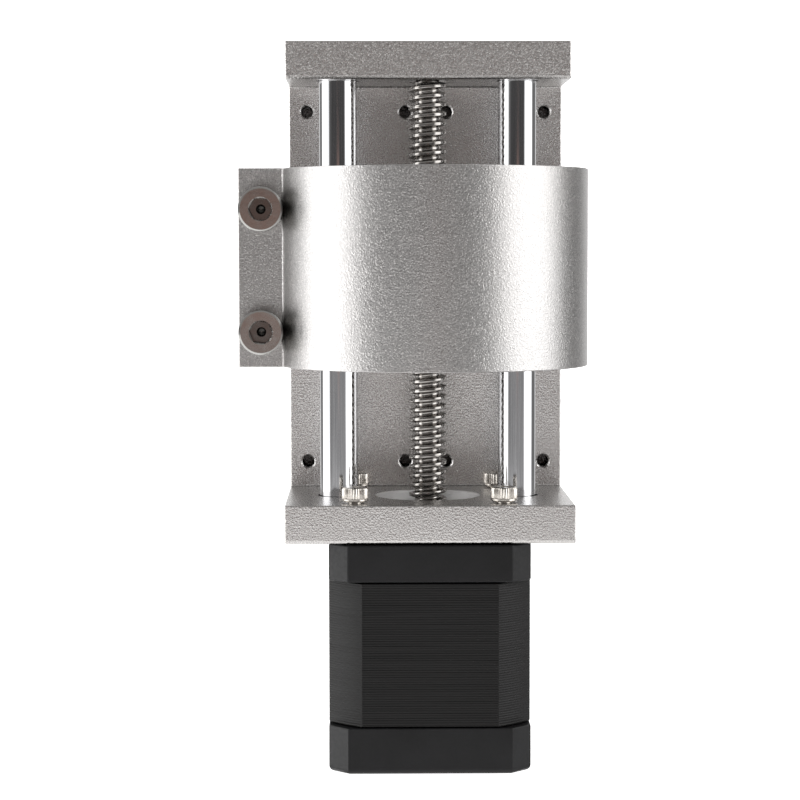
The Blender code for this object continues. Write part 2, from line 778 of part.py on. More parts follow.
def build_rear_bell():
    bell = prism("motor_rear_bell", [square_with_chamfers(motor_width / 2, bell_chamfer)],
                 rear_bottom, rear_top)
    bell.data.transform(Matrix.Translation((0.0, axis_y, 0.0)))
    bevel = bell.modifiers.new("edges", "BEVEL")
    bevel.width = rear_bell_edge
    bevel.segments = 1
    bevel.limit_method = "ANGLE"
    bevel.angle_limit = math.radians(60)
    pocket = motor_bearing_outside / 2 + seat_gap
    floor = rear_bottom + bell_end_wall
    cavity_floor = rear_top - front_cavity
    mouth = rear_top + cut_past
    inside = turned("rear_inside", [(0.0, mouth), (bell_cavity_radius, mouth),
                                    (bell_cavity_radius, cavity_floor), (pocket, cavity_floor),
                                    (pocket, floor), (0.0, floor)], fine_steps)
    inside.location = (0.0, axis_y, 0.0)
    cut(bell, inside)
    sink = m3_head_diameter / 2 + hole_allowance
    shoulder = rear_bottom + case_screw_head + 2 * seat_gap
    hole = turned("rear_screw_hole", [(0.0, mouth), (screw_hole_radius, mouth),
                                      (screw_hole_radius, shoulder), (sink, shoulder),
                                      (sink, rear_bottom - cut_past), (0.0, rear_bottom - cut_past)],
                  small_steps)
    cut(bell, pattern("rear_screw_holes", frozen(hole, "hole"),
                      corners_of_square(motor_screw_spacing).values()))
    low, high = socket_box()
    margin = Vector((seat_gap, seat_gap, seat_gap))
    cut(bell, block("socket_notch", low - margin, high + margin + Vector((0.0, cut_past, 0.0))))
    settle(bell, black_casting)


def build_motor_screws():
    seat = inner_bottom + seat_gap
    screw = cap_screw("motor_screw", m3_diameter / 2, motor_screw_length, m3_head_diameter / 2,
                      m3_head_height, m3_socket)
    copies("mount_screw", screw, corners_of_square(motor_screw_spacing, seat), nickel)
    head_seat = rear_bottom + seat_gap + case_screw_head
    end = bell_bottom + front_bell_height - motor_screw_length + end_plate - 2 * seat_gap
    long_screw = cap_screw("case_screw", m3_diameter / 2, end - head_seat, m3_head_diameter / 2,
                           case_screw_head, m3_socket)
    over = Matrix.Rotation(math.pi, 4, "X")
    corners = corners_of_square(motor_screw_spacing, head_seat)
    copies("case_screw", long_screw, {where: corner @ over for where, corner in corners.items()}, nickel)


def build_wave_washer():
    """A spring steel ring with three waves, which preloads the rear bearing."""
    outer = motor_bearing_outside / 2 - seat_gap
    floor = rear_bottom + bell_end_wall + seat_gap
    profile = ring_profile(washer_bore / 2, outer, floor, floor + washer_thickness)
    ring = frozen(turned("washer_ring", profile, fine_steps, closed=True), "motor_wave_washer")
    for vertex in ring.vertices:
        angle = math.atan2(vertex.co.y, vertex.co.x)
        vertex.co.z += washer_wave * (1 + math.sin(3 * angle))
    ring.transform(Matrix.Translation((0.0, axis_y, 0.0)))
    settle(add("motor_wave_washer", ring), bearing_steel)


def socket_box():
    """The corners of the plug's socket, at the back of the rear bell."""
    middle = (rear_top + rear_bottom) / 2
    low = Vector((-socket_width / 2, axis_y + slot_radius + seat_gap, middle - socket_height / 2))
    high = Vector((socket_width / 2, axis_y + motor_width / 2 + socket_reach,
                   middle + socket_height / 2))
    return low, high


def build_socket():
    low, high = socket_box()
    socket = block("motor_connector_socket", low, high)
    wall = Vector((socket_wall, 2 * socket_wall, socket_wall))
    past = Vector((0.0, 4 * socket_wall, 0.0))
    cut(socket, block("socket_mouth", low + wall, high - wall + past))
    level = (low.z + high.z) / 2
    half = pin_side / 2
    pin = frozen(block("pin", (-half, low.y + socket_wall, level - half),
                       (half, high.y - 2 * socket_wall, level + half)), "pin")
    places = [Matrix.Translation(((i - (socket_pins - 1) / 2) * pin_pitch, 0.0, 0.0))
              for i in range(socket_pins)]
    cut(socket, pattern("socket_pins", pin, places), "UNION")
    settle(socket, ivory_plastic)


# The carriage: a block on the rods with the spindle's ring clamp in front

def clamp_outline():
    """The clamp seen from above, with x to the right and the distance ahead of the screw's axis."""
    bore = ring_bore_diameter / 2
    half = block_width / 2
    centre = (0.0, ring_ahead)
    drop = ring_ahead - block_ahead - block_fillet
    fillet_x = math.sqrt((ring_radius + block_fillet) ** 2 - drop ** 2)
    touch = math.degrees(math.atan2(drop, fillet_x))
    fillet_y = block_ahead + block_fillet
    reach = ring_radius + ear_fillet
    front_angle = math.degrees(math.asin((ear_front + ear_fillet) / reach))
    front_fillet = (-reach * math.cos(math.radians(front_angle)), ring_ahead + ear_front + ear_fillet)
    rear_angle = math.degrees(math.asin((ear_back + ear_fillet) / reach))
    rear_fillet = (-reach * math.cos(math.radians(rear_angle)), ring_ahead - ear_back - ear_fillet)
    slit = ear_slit / 2
    slit_angle = math.degrees(math.asin(slit / bore))
    corner = block_corner
    path = [(-half, -block_behind + corner), (-half + corner, -block_behind),
            (half - corner, -block_behind), (half, -block_behind + corner),
            (half, block_ahead - corner), (half - corner, block_ahead)]
    path += arc((fillet_x, fillet_y), block_fillet, 270, 180 - touch, 5)
    path += arc(centre, ring_radius, -touch, 180 - front_angle, 30)[1:]
    path += arc(front_fillet, ear_fillet, -front_angle, -90, 3)[1:]
    path += [(-ear_reach + ear_corner, ring_ahead + ear_front),
             (-ear_reach, ring_ahead + ear_front - ear_corner), (-ear_reach, ring_ahead + slit)]
    path += arc(centre, bore, 180 - slit_angle, -180 + slit_angle, 48)
    path += [(-ear_reach, ring_ahead - slit), (-ear_reach, ring_ahead - ear_back + ear_corner),
             (-ear_reach + ear_corner, ring_ahead - ear_back)]
    path += arc(rear_fillet, ear_fillet, 90, rear_angle, 3)
    path += arc(centre, ring_radius, 180 + rear_angle, 180 + touch, 4)[1:]
    path += arc((-fillet_x, fillet_y), block_fillet, touch, -90, 5)[1:]
    path += [(-half + corner, block_ahead), (-half, block_ahead - corner)]
    return path


def mirrored_to_world(points):
    return [(x, axis_y - ahead) for x, ahead in points]


def build_clamp():
    loops = [clamp_outline()]
    for x in (-rod_x, rod_x):
        loops.append(circle((x, 0.0), sleeve_diameter / 2 + seat_gap, round_steps))
    loops.append(circle((0.0, 0.0), nut_diameter / 2 + seat_gap, round_steps))
    clamp = prism("spindle_clamp", [mirrored_to_world(loop) for loop in loops],
                  carriage_rest, carriage_top)
    turn_front = Matrix.Rotation(math.radians(90), 4, "X")
    face = axis_y - ring_ahead - ear_front
    radius = m5_diameter / 2 + hole_allowance
    hole = turned("clamp_hole", rod_profile(radius, -(ear_front + ear_back) - cut_past, cut_past),
                  small_steps)
    places = [Matrix.Translation((-clamp_bolt_x, face, level)) @ turn_front
              for level in clamp_bolt_levels().values()]
    cut(clamp, pattern("clamp_holes", frozen(hole, "hole"), places))
    rear = axis_y + block_behind
    radius = nut_grub_diameter / 2 + hole_allowance
    grub_hole = turned("nut_grub_hole", rod_profile(radius, -block_behind, cut_past), small_steps)
    cut(clamp, pattern("nut_grub_holes", frozen(grub_hole, "hole"), nut_grub_places(rear).values()))
    settle(clamp, blasted_aluminium, carriage_pivot)


def clamp_bolt_levels():
    middle = carriage_middle - clamp_bolt_drop
    return {"lower": middle - clamp_bolt_spacing / 2, "upper": middle + clamp_bolt_spacing / 2}


def nut_grub_places(depth):
    """From Z to the two screws that go in from the block's back."""
    turn_back = Matrix.Rotation(math.radians(-90), 4, "X")
    return {name: Matrix.Translation((0.0, depth, carriage_middle + side * nut_grub_spacing / 2))
            @ turn_back for name, side in (("lower", -1), ("upper", 1))}


def build_carriage_screws():
    bolt = cap_screw("clamp_bolt", m5_diameter / 2, clamp_screw_length, m5_head_diameter / 2,
                     m5_head_height, m5_socket, race_steps)
    seat = axis_y - ring_ahead - ear_front - seat_gap
    turn_front = Matrix.Rotation(math.radians(90), 4, "X")
    places = {name: Matrix.Translation((-clamp_bolt_x, seat, level)) @ turn_front
              for name, level in clamp_bolt_levels().items()}
    copies("clamp_bolt", bolt, places, nickel, carriage_pivot)
    length = block_behind - nut_diameter / 2 - 2 * seat_gap
    grub = grub_screw("nut_grub", nut_grub_diameter / 2, length, nut_grub_socket)
    outer_end = axis_y + nut_diameter / 2 + seat_gap + length
    copies("nut_set_screw", grub, nut_grub_places(outer_end), black_steel, carriage_pivot)


def build_linear_bearings():
    outer = sleeve_diameter / 2
    cage_inner = rod_radius + seat_gap
    cage_outer = cage_inner + cage_wall
    low = carriage_middle - sleeve_length / 2
    high = carriage_middle + sleeve_length / 2
    groove = outer - sleeve_groove
    upper = high - sleeve_shoulder
    lower = low + sleeve_shoulder
    sleeve_profile = [(outer, high), (outer, upper), (groove, upper),
                      (groove, upper - sleeve_groove_width), (outer, upper - sleeve_groove_width),
                      (outer, lower + sleeve_groove_width), (groove, lower + sleeve_groove_width),
                      (groove, lower), (outer, lower), (outer, low), (cage_outer + seat_gap, low),
                      (cage_outer + seat_gap, high)]
    cage_profile = ring_profile(cage_inner, cage_outer, low + seat_gap, high - seat_gap)
    for side, x in (("left", -rod_x), ("right", rod_x)):
        sleeve = turned("bearing_sleeve_" + side, sleeve_profile, race_steps, closed=True)
        cage = turned("ball_cage_" + side, cage_profile, race_steps, closed=True)
        for piece, material in ((sleeve, bearing_steel), (cage, dark_plastic)):
            piece.location = (x, axis_y, 0.0)
            settle(piece, material, carriage_pivot)

    opening = 40
    clip_outer = arc((0.0, 0.0), outer, opening, 360 - opening, 10)
    clip_inner = arc((0.0, 0.0), outer - ring_clip_wall, 360 - opening, opening, 10)
    clip = frozen(prism("clip", [clip_outer + clip_inner], 0.0, ring_clip_thickness), "clip")
    levels = {"lower": low - seat_gap - ring_clip_thickness, "upper": high + seat_gap}
    places = {end + "_" + side: Matrix.Translation((x, axis_y, level))
              @ Matrix.Rotation(math.radians(-90), 4, "Z")
              for side, x in (("left", -rod_x), ("right", rod_x)) for end, level in levels.items()}
    copies("retaining_ring", clip, places, black_steel, carriage_pivot)


build_channel()
build_rods()
build_bearing("top_bearing", top_bearing_outside, top_bearing_width, top_ball_radius,
              top_ball_count, inner_top + seat_gap)
build_lead_screw()
build_front_bell()
build_bearing("front_bearing", motor_bearing_outside, motor_bearing_width, motor_ball_radius,
              motor_ball_count, front_bearing_low)
build_stator()
build_windings()
build_rotor()
build_rear_bell()
build_bearing("rear_bearing", motor_bearing_outside, motor_bearing_width, motor_ball_radius,
              motor_ball_count, rear_bearing_low)
build_wave_washer()
build_motor_screws()
build_socket()
build_clamp()
build_carriage_screws()
build_linear_bearings()
build_nut()
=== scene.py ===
"""Looks of the vertical axis module: a channel with guide rods and a lead screw, a stepper motor
under it, and a carriage with a ring clamp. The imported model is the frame; each section makes the
pieces that are put on at that step of the assembly."""
import math

import bpy
from mathutils import Matrix, Vector


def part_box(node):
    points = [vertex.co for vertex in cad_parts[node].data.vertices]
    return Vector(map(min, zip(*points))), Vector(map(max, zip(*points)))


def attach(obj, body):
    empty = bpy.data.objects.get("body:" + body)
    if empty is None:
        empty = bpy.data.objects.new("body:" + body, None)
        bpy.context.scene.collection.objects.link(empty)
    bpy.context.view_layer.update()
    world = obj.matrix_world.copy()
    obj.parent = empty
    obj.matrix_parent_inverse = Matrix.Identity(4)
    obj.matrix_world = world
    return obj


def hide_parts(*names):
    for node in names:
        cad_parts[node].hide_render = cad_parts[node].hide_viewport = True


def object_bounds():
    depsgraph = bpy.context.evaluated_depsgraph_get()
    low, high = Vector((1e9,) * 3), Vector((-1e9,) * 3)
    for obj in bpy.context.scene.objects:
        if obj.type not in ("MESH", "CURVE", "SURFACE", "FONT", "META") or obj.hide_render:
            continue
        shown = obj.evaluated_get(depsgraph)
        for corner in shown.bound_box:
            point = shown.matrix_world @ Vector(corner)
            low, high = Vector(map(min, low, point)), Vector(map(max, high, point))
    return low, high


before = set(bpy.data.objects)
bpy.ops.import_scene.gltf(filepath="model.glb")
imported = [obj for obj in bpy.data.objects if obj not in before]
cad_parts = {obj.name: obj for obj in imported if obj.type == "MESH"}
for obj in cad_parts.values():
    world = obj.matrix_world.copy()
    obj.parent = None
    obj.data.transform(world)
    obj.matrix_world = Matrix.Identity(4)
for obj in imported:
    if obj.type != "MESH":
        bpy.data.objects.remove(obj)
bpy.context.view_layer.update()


# The channel. One piece of aluminium with a back plate and two end plates, sawn from an extrusion,
# milled, drilled and tapped, then sand-blasted and anodised grey. The pilot hole is bored bright
# after that. Painted shade darkens the insides of the tapped holes, the rod holes and a thin ring
# round the rods.

millimetre = 0.001
channel_low, channel_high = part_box("frame_channel")
screw_low, screw_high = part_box("lead_screw")
axis_x = (screw_low.x + screw_high.x) / 2
axis_y = (screw_low.y + screw_high.y) / 2
on_axis = (axis_x, axis_y, 0.0)


def centre_of(node):
    low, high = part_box(node)
    return (low + high) / 2


def radius_of(node):
    low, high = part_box(node)
    return (high.x - low.x) / 2


rods = ("guide_rod_left", "guide_rod_right")
rod_radius = radius_of(rods[0])
rod_centres = [(low.x + high.x) / 2 for low, high in (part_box(rod) for rod in rods)]
seat_gap = 0.3 * millimetre
end_plate = 8 * millimetre
back_plate = 8 * millimetre
inner_face = channel_high.y - back_plate
top_plate_front = axis_y - 6.5 * millimetre
base_plate_front = channel_low.y
top_underside = channel_high.z - end_plate
base_top = channel_low.z + end_plate


class Wire:
    """A value in a material's nodes. Sums, products and powers of wires add Math nodes."""

    def __init__(self, finish, socket):
        self.finish = finish
        self.socket = socket

    def maths(self, operation, first, second):
        return self.finish.node("ShaderNodeMath", {"operation": operation}, {0: first, 1: second})

    def __add__(self, other):
        return self.maths("ADD", self, other)

    __radd__ = __add__

    def __sub__(self, other):
        return self.maths("SUBTRACT", self, other)

    def __rsub__(self, other):
        return self.maths("SUBTRACT", other, self)

    def __mul__(self, other):
        return self.maths("MULTIPLY", self, other)

    __rmul__ = __mul__

    def __pow__(self, other):
        return self.maths("POWER", self, other)

    def __abs__(self):
        return self.maths("ABSOLUTE", self, 0.0)


class Pattern:
    """The nodes of a material or of the studio, made by expressions."""

    def __init__(self, owner, shader):
        owner.use_nodes = True
        self.nodes = owner.node_tree.nodes
        self.links = owner.node_tree.links
        self.shader = self.nodes[shader]

    def set(self, name, value):
        if isinstance(value, Wire):
            self.links.new(value.socket, self.shader.inputs[name])
        else:
            self.shader.inputs[name].default_value = value

    def node(self, kind, settings=None, inputs=None, out=0):
        """A node of any type: its settings first, then the values or wires of its sockets."""
        node = self.nodes.new(kind)
        for key, value in (settings or {}).items():
            setattr(node, key, value)
        for key, value in (inputs or {}).items():
            if isinstance(value, Wire):
                self.links.new(value.socket, node.inputs[key])
            else:
                node.inputs[key].default_value = value
        return Wire(self, node.outputs[out])

    def noise(self, scale, detail=2.0, roughness=0.5, place=None):
        return self.node("ShaderNodeTexNoise", None, {"Vector": place or self.place, "Scale": scale,
                                                      "Detail": detail, "Roughness": roughness})

    def ranged(self, value, low, high, new_low=0.0, new_high=1.0):
        return self.node("ShaderNodeMapRange", {"clamp": True},
                         {"Value": value, "From Min": low, "From Max": high,
                          "To Min": new_low, "To Max": new_high})

    def blend(self, amount, first, second):
        """A mix of two colours, each a colour or a wire."""
        node = self.nodes.new("ShaderNodeMix")
        node.data_type = "RGBA"
        for key, value in ((0, amount), (6, first), (7, second)):
            if isinstance(value, Wire):
                self.links.new(value.socket, node.inputs[key])
            elif key == 0:
                node.inputs[key].default_value = value
            else:
                node.inputs[key].default_value = (*value, 1.0)
        return Wire(self, node.outputs[2])

    def parts(self, vector):
        """The x, y and z of a vector."""
        split = self.node("ShaderNodeSeparateXYZ", None, {0: vector}).socket.node
        return [Wire(self, output) for output in split.outputs]


class Finish(Pattern):
    """A material with a Principled shader, and the nodes that vary it over the surface."""

    def __init__(self, name, colour, roughness, metallic=0.0):
        self.material = bpy.data.materials.new(name)
        super().__init__(self.material, "Principled BSDF")
        self.set("Base Color", (*colour, 1.0))
        self.set("Roughness", roughness)
        self.set("Metallic", metallic)
        self.place = self.node("ShaderNodeTexCoord", out="Object")

    def streaks(self, scale, detail=2.0, roughness=0.5):
        """A noise with a scale of its own along each axis."""
        stretched = self.node("ShaderNodeMapping", None, {"Vector": self.place, "Scale": scale})
        return self.noise(1.0, detail, roughness, stretched)

    def level_bands(self, scale, distortion, detail=2.0, detail_scale=1.0):
        return self.node("ShaderNodeTexWave", {"wave_type": "BANDS", "bands_direction": "Z"},
                         {"Vector": self.place, "Scale": scale, "Distortion": distortion,
                          "Detail": detail, "Detail Scale": detail_scale}, out="Fac")

    def dull(self, noise, low, high):
        """Roughness from low to high over the usual spread of a noise."""
        self.set("Roughness", self.ranged(noise, 0.3, 0.7, low, high))

    def tint(self, amount, first, second):
        self.set("Base Color", self.blend(amount, first, second))

    def within(self, first, second, centres, radius, blur):
        """One inside any of the circles about the centres, fading to nothing over the blur."""
        outside = 1.0
        for first_centre, second_centre in centres:
            one = first - first_centre
            other = second - second_centre
            outside = outside * self.ranged((one * one + other * other) ** 0.5, radius, radius + blur)
        return 1.0 - outside

    def bumps(self, height, depth, strength=1.0):
        """Relief whose full height is the depth given, in metres."""
        self.set("Normal", self.node("ShaderNodeBump", None, {"Height": height, "Distance": depth,
                                                              "Strength": strength}))


def select_only(*pieces):
    bpy.ops.object.select_all(action="DESELECT")
    for piece in pieces:
        piece.select_set(True)
    bpy.context.view_layer.objects.active = pieces[0]


def edit(piece):
    select_only(piece)
    bpy.ops.object.mode_set(mode="EDIT")


def stop_editing():
    bpy.ops.object.mode_set(mode="OBJECT")


def added(name):
    """The object that an operator has just added, with its place put into its mesh."""
    piece = bpy.context.object
    piece.name = name
    piece.data.name = name
    select_only(piece)
    bpy.ops.object.transform_apply(location=True, rotation=True, scale=True)
    return piece


def block(name, low, high):
    low, high = Vector(low), Vector(high)
    bpy.ops.mesh.primitive_cube_add(size=1.0, location=(low + high) / 2, scale=high - low)
    return added(name)


def turned(name, profile, sides, centre=None, ring=False, turn=None):
    """A round piece, drawn as one circle for each (radius, height) of its profile.

    A ring's profile goes round its section, and its two ends are bridged. The piece is made
    upright on the origin, and then turned and moved to its centre.
    """
    radius, height = profile[0]
    bpy.ops.mesh.primitive_circle_add(vertices=sides, radius=radius, location=(0.0, 0.0, height),
                                      fill_type="NOTHING" if ring else "NGON")
    edit(bpy.context.object)
    bpy.ops.mesh.select_all(action="SELECT")
    for next_radius, next_height in profile[1:]:
        bpy.ops.mesh.extrude_region_move(
            TRANSFORM_OT_translate={"value": (0.0, 0.0, next_height - height)})
        grow = next_radius / radius
        bpy.ops.transform.resize(value=(grow, grow, 1.0), center_override=(0.0, 0.0, next_height))
        radius, height = next_radius, next_height
    if ring:
        bpy.ops.mesh.select_all(action="DESELECT")
        bpy.ops.mesh.select_mode(type="EDGE")
        bpy.ops.mesh.select_non_manifold()
        bpy.ops.mesh.bridge_edge_loops()
    bpy.ops.mesh.select_all(action="SELECT")
    bpy.ops.mesh.normals_make_consistent(inside=False)
    bpy.ops.mesh.select_mode(type="VERT")
    stop_editing()
    piece = added(name)
    if turn is not None:
        piece.data.transform(turn)
    if centre is not None:
        piece.data.transform(Matrix.Translation(centre))
    return piece


def joined(name, pieces):
    select_only(*pieces)
    if len(pieces) > 1:
        bpy.ops.object.join()
    return added(name)


def apply_modifier(piece, kind, settings):
    select_only(piece)
    modifier = piece.modifiers.new(kind.lower(), kind)
    for key, value in settings.items():
        setattr(modifier, key, value)
    bpy.ops.object.modifier_apply(modifier=modifier.name)


def carve(piece, cutter, operation="DIFFERENCE"):
    apply_modifier(piece, "BOOLEAN", {"object": cutter, "operation": operation, "solver": "EXACT"})
    bpy.data.objects.remove(cutter, do_unlink=True)


def soften(piece, width, segments=2, angle=40.0):
    """Break the sharp edges of a piece."""
    apply_modifier(piece, "BEVEL", {"width": width, "segments": segments, "limit_method": "ANGLE",
                                    "angle_limit": math.radians(angle), "harden_normals": False})


def finished(piece, finish, body, slot_name, *nodes, angle=32.0):
    """Give a piece its material and shading, put it on the body that it rides on, and hide the CAD parts
    that it stands for.
    """
    piece.data.materials.clear()
    piece.data.materials.append(finish.material)
    select_only(piece)
    bpy.ops.object.shade_smooth_by_angle(angle=math.radians(angle))
    apply_modifier(piece, "WEIGHTED_NORMAL", {"keep_sharp": True, "weight": 60})
    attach(piece, body)
    if nodes:
        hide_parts(*nodes)


def pick(piece, kind, wanted):
    """Edit the piece with only those faces, edges or corners selected that are wanted."""
    edit(piece)
    bpy.ops.mesh.select_mode(type=kind)
    bpy.ops.mesh.select_all(action="DESELECT")
    stop_editing()
    for element in {"FACE": piece.data.polygons, "EDGE": piece.data.edges,
                    "VERT": piece.data.vertices}[kind]:
        element.select = wanted(element)
    bpy.ops.object.mode_set(mode="EDIT")


def ends_of(piece, edge):
    return [piece.data.vertices[i].co for i in edge.vertices]


def drill(piece, profile, sides, places, turn=None):
    """Cut the same turned hole at each place."""
    drills = [turned("drill", profile, sides, place, turn=turn) for place in places]
    carve(piece, joined("drills", drills))


def through(radius, low, high):
    """The profile of a plain hole that comes out at both ends."""
    return [(radius, low - end_plate), (radius, high + end_plate)]


def blasted_metal(name, colour, grain, depth, roughness=0.25):
    """Sand-blasted and anodised aluminium: soft dents, and steep ones that glitter in the light. Painted
    glints: the base colour is lightened towards white on the steep dents.
    """
    finish = Finish(name, colour, roughness, 1.0)
    dents = finish.noise(grain, 1.0, 0.5)
    pits = finish.noise(grain * 2.3, 1.0, 0.5)
    steep_glint = finish.ranged(finish.noise(grain * 1.25, 0.0), 0.56, 0.78)
    patches = finish.noise(38.0, 2.0, 0.5)
    shade = finish.ranged(dents * 0.6 + pits * 0.4, 0.36, 0.64)
    dark = tuple(part * 0.87 for part in colour)
    light = tuple(min(part * 1.13, 1.0) for part in colour)
    tone = finish.blend(shade, dark, light)
    # Painted glints: bright specks mixed into the base colour where the dents are steep.
    tone = finish.blend(steep_glint * 0.35, tone, (0.95, 0.93, 0.90))
    finish.tone = finish.blend(finish.ranged(patches, 0.35, 0.7) * 0.08, tone, (0.36, 0.32, 0.30))
    finish.set("Base Color", finish.tone)
    finish.dullness = finish.ranged(pits, 0.3, 0.7, roughness - 0.05, roughness + 0.07)
    finish.set("Roughness", finish.dullness)
    finish.bumps(dents + steep_glint * 0.45 + pits * 0.15, depth)
    return finish


plate_metal = blasted_metal("blasted_plate", (0.63, 0.618, 0.61), 2500.0, 0.00006)

channel = block("channel", (channel_low.x, inner_face, channel_low.z),
                (channel_high.x, channel_high.y, channel_high.z))
edit(channel)
for level in (top_underside, base_top):
    bpy.ops.mesh.select_all(action="SELECT")
    bpy.ops.mesh.bisect(plane_co=(0.0, 0.0, level), plane_no=(0.0, 0.0, 1.0))
stop_editing()
for plate_front, is_plate in ((top_plate_front, lambda z: z > top_underside),
                              (base_plate_front, lambda z: z < base_top)):
    pick(channel, "FACE", lambda face: face.normal.y < -0.9 and is_plate(face.center.z))
    bpy.ops.mesh.extrude_region_move(
        TRANSFORM_OT_translate={"value": (0.0, plate_front - inner_face, 0.0)})
    stop_editing()
front_edges = 0.8 * millimetre
broken_edges = 0.35 * millimetre
for plate_front, level in ((top_plate_front, top_underside), (base_plate_front, channel_low.z)):
    pick(channel, "EDGE", lambda edge: all(
        max(abs(end.y - plate_front), abs(end.z - level)) < seat_gap / 2
        for end in ends_of(channel, edge)))
    bpy.ops.mesh.bevel(offset=front_edges, segments=4)
    stop_editing()
soften(channel, broken_edges, 3)

rod_hole = rod_radius + seat_gap / 2
rod_seat = rod_hole + 0.3 * millimetre
rod_groove = 1.5 * millimetre
drill(channel, [
    (rod_hole, channel_low.z - end_plate), (rod_hole, base_top - rod_groove),
    (rod_seat, base_top - rod_groove), (rod_seat, top_underside + rod_groove),
    (rod_hole, top_underside + rod_groove), (rod_hole, channel_high.z + end_plate)],
    64, [(x, axis_y, 0.0) for x in rod_centres])

pilot_radius = 11.0 * millimetre
pilot_sink = 0.25 * millimetre
drill(channel, [
    (pilot_radius, channel_low.z - end_plate), (pilot_radius, base_top - pilot_sink),
    (pilot_radius + pilot_sink, base_top), (pilot_radius + pilot_sink, base_top + end_plate)],
    128, [on_axis])

bearing_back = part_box("top_bearing_outer_race")[1].z + seat_gap
bearing_seat = radius_of("top_bearing_outer_race") + 0.1 * millimetre
seat_sink = 0.3 * millimetre
end_hole = 3.4 * millimetre
drill(channel, [
    (bearing_seat + seat_sink, top_underside - end_plate), (bearing_seat + seat_sink, top_underside),
    (bearing_seat, top_underside + seat_sink), (bearing_seat, bearing_back),
    (end_hole, bearing_back), (end_hole, channel_high.z + end_plate)], 96, [on_axis])

corners = ("front_left", "front_right", "rear_left", "rear_right")
motor_screws = ["mount_screw_" + corner for corner in corners]
motor_screw_places = [(centre_of(node).x, centre_of(node).y, 0.0) for node in motor_screws]
motor_screw_hole = 1.7 * millimetre
drill(channel, through(motor_screw_hole, channel_low.z, base_top), 32, motor_screw_places)

towards_back = Matrix.Rotation(math.radians(-90), 4, "X")
tapped_radius = 1.3 * millimetre
tapped_sink = 0.35 * millimetre
thread_depth = 0.3 * millimetre
thread_pitch = 0.5 * millimetre
inner_column = 4.5 * millimetre
outer_column = 26 * millimetre
back_hole_level = top_underside - 5.5 * millimetre
front_profile = [(tapped_radius + 2 * tapped_sink, -tapped_sink), (tapped_radius, tapped_sink)]
while front_profile[-1][1] + thread_pitch < back_plate * 0.75:
    level = front_profile[-1][1]
    front_profile += [(tapped_radius + thread_depth, level + 0.5 * thread_pitch),
                      (tapped_radius, level + thread_pitch)]
rear_profile = [(radius, back_plate - level) for radius, level in reversed(front_profile[:2])]
rear_profile.insert(0, (tapped_radius, back_plate * 0.85))
drills = []
for x in (-outer_column, -inner_column, inner_column, outer_column):
    for level in (-back_hole_level, back_hole_level):
        for profile in (front_profile, rear_profile):
            drills.append(turned("back_drill", profile, 40, (x, inner_face, level),
                                 turn=towards_back))
carve(channel, joined("back_drills", drills))

across, depth, height = plate_metal.parts(plate_metal.place)
back_holes = [(inner_column, back_hole_level), (outer_column, back_hole_level)]
# Painted shade: the base colour goes nearly black inside the tapped holes, in the rod holes and in a thin
# ring round them.
painted_shade = plate_metal.within(abs(across), abs(height), back_holes, tapped_radius, tapped_sink)
painted_shade = painted_shade * plate_metal.ranged(depth, inner_face, inner_face + 2 * tapped_sink)
mask_margin = 0.05 * millimetre
painted_shade = painted_shade + plate_metal.within(abs(across), depth, [(rod_centres[-1], axis_y)],
                                 rod_seat + mask_margin, 3 * mask_margin)
turned_bore = plate_metal.within(across, depth, [(axis_x, axis_y)], pilot_radius + mask_margin, pilot_sink)
turned_bore = turned_bore * plate_metal.ranged(height, base_top, base_top + end_plate / 2, 1.0, 0.0)
bright_bore = plate_metal.blend(turned_bore, plate_metal.tone, (0.93, 0.92, 0.91))
plate_metal.tint(painted_shade * 0.8, bright_bore, (0.03, 0.028, 0.027))
plate_metal.set("Roughness", plate_metal.dullness + turned_bore * 0.35)

rod_grubs = {"rod_set_screw_top_left": -1, "rod_set_screw_top_right": 1,
             "rod_set_screw_base_left": -1, "rod_set_screw_base_right": 1}
outwards = {side: Matrix.Rotation(math.radians(90) * side, 4, "Y") for side in (-1, 1)}
grub_hole = 1.65 * millimetre
drills = []
for node, side in rod_grubs.items():
    drills.append(turned("grub_drill", [
        (grub_hole, abs(rod_centres[0])), (grub_hole, channel_high.x - seat_gap),
        (grub_hole + 2 * seat_gap, channel_high.x + seat_gap)], 40,
        (0.0, axis_y, centre_of(node).z), turn=outwards[side]))
carve(channel, joined("grub_drills", drills))
finished(channel, plate_metal, "frame", "frame_aluminium", "frame_channel")


# The two guide rods. Hardened steel, ground, hard chromed and polished, with turned ends. They go
# through both end plates.

rod_metal = Finish("polished_chrome", (0.66, 0.665, 0.68), 0.07, 1.0)
draw_lines = rod_metal.streaks((5200.0, 5200.0, 60.0), 3.0, 0.6)
rod_metal.dull(draw_lines, 0.05, 0.11)
rod_metal.tint(rod_metal.ranged(draw_lines, 0.35, 0.65), (0.60, 0.605, 0.62), (0.71, 0.715, 0.73))
rod_chamfer = 0.5 * millimetre


def both_ends(low, high, profile):
    """A profile of (radius, distance from the end), then the same turned over at the far end."""
    return ([(radius, low + inset) for radius, inset in profile]
            + [(radius, high - inset) for radius, inset in reversed(profile)])


for node, x in zip(rods, rod_centres):
    low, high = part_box(node)
    profile = both_ends(low.z, high.z, [(rod_radius - rod_chamfer, 0.0), (rod_radius, rod_chamfer)])
    rod = turned(node.replace("guide_rod", "polished_rod"), profile, 128, (x, axis_y, 0.0))
    finished(rod, rod_metal, "frame", "polished_rod", node)


# Four M3 set screws in the edges of the end plates, which hold the rods. Black steel with a
# hexagon socket and a flat point.

black_steel = Finish("black_oxide", (0.035, 0.034, 0.034), 0.36, 1.0)
black_steel.dull(black_steel.noise(900.0), 0.28, 0.45)
black_steel.tint(black_steel.ranged(black_steel.noise(300.0), 0.3, 0.7),
                 (0.025, 0.024, 0.024), (0.06, 0.056, 0.052))


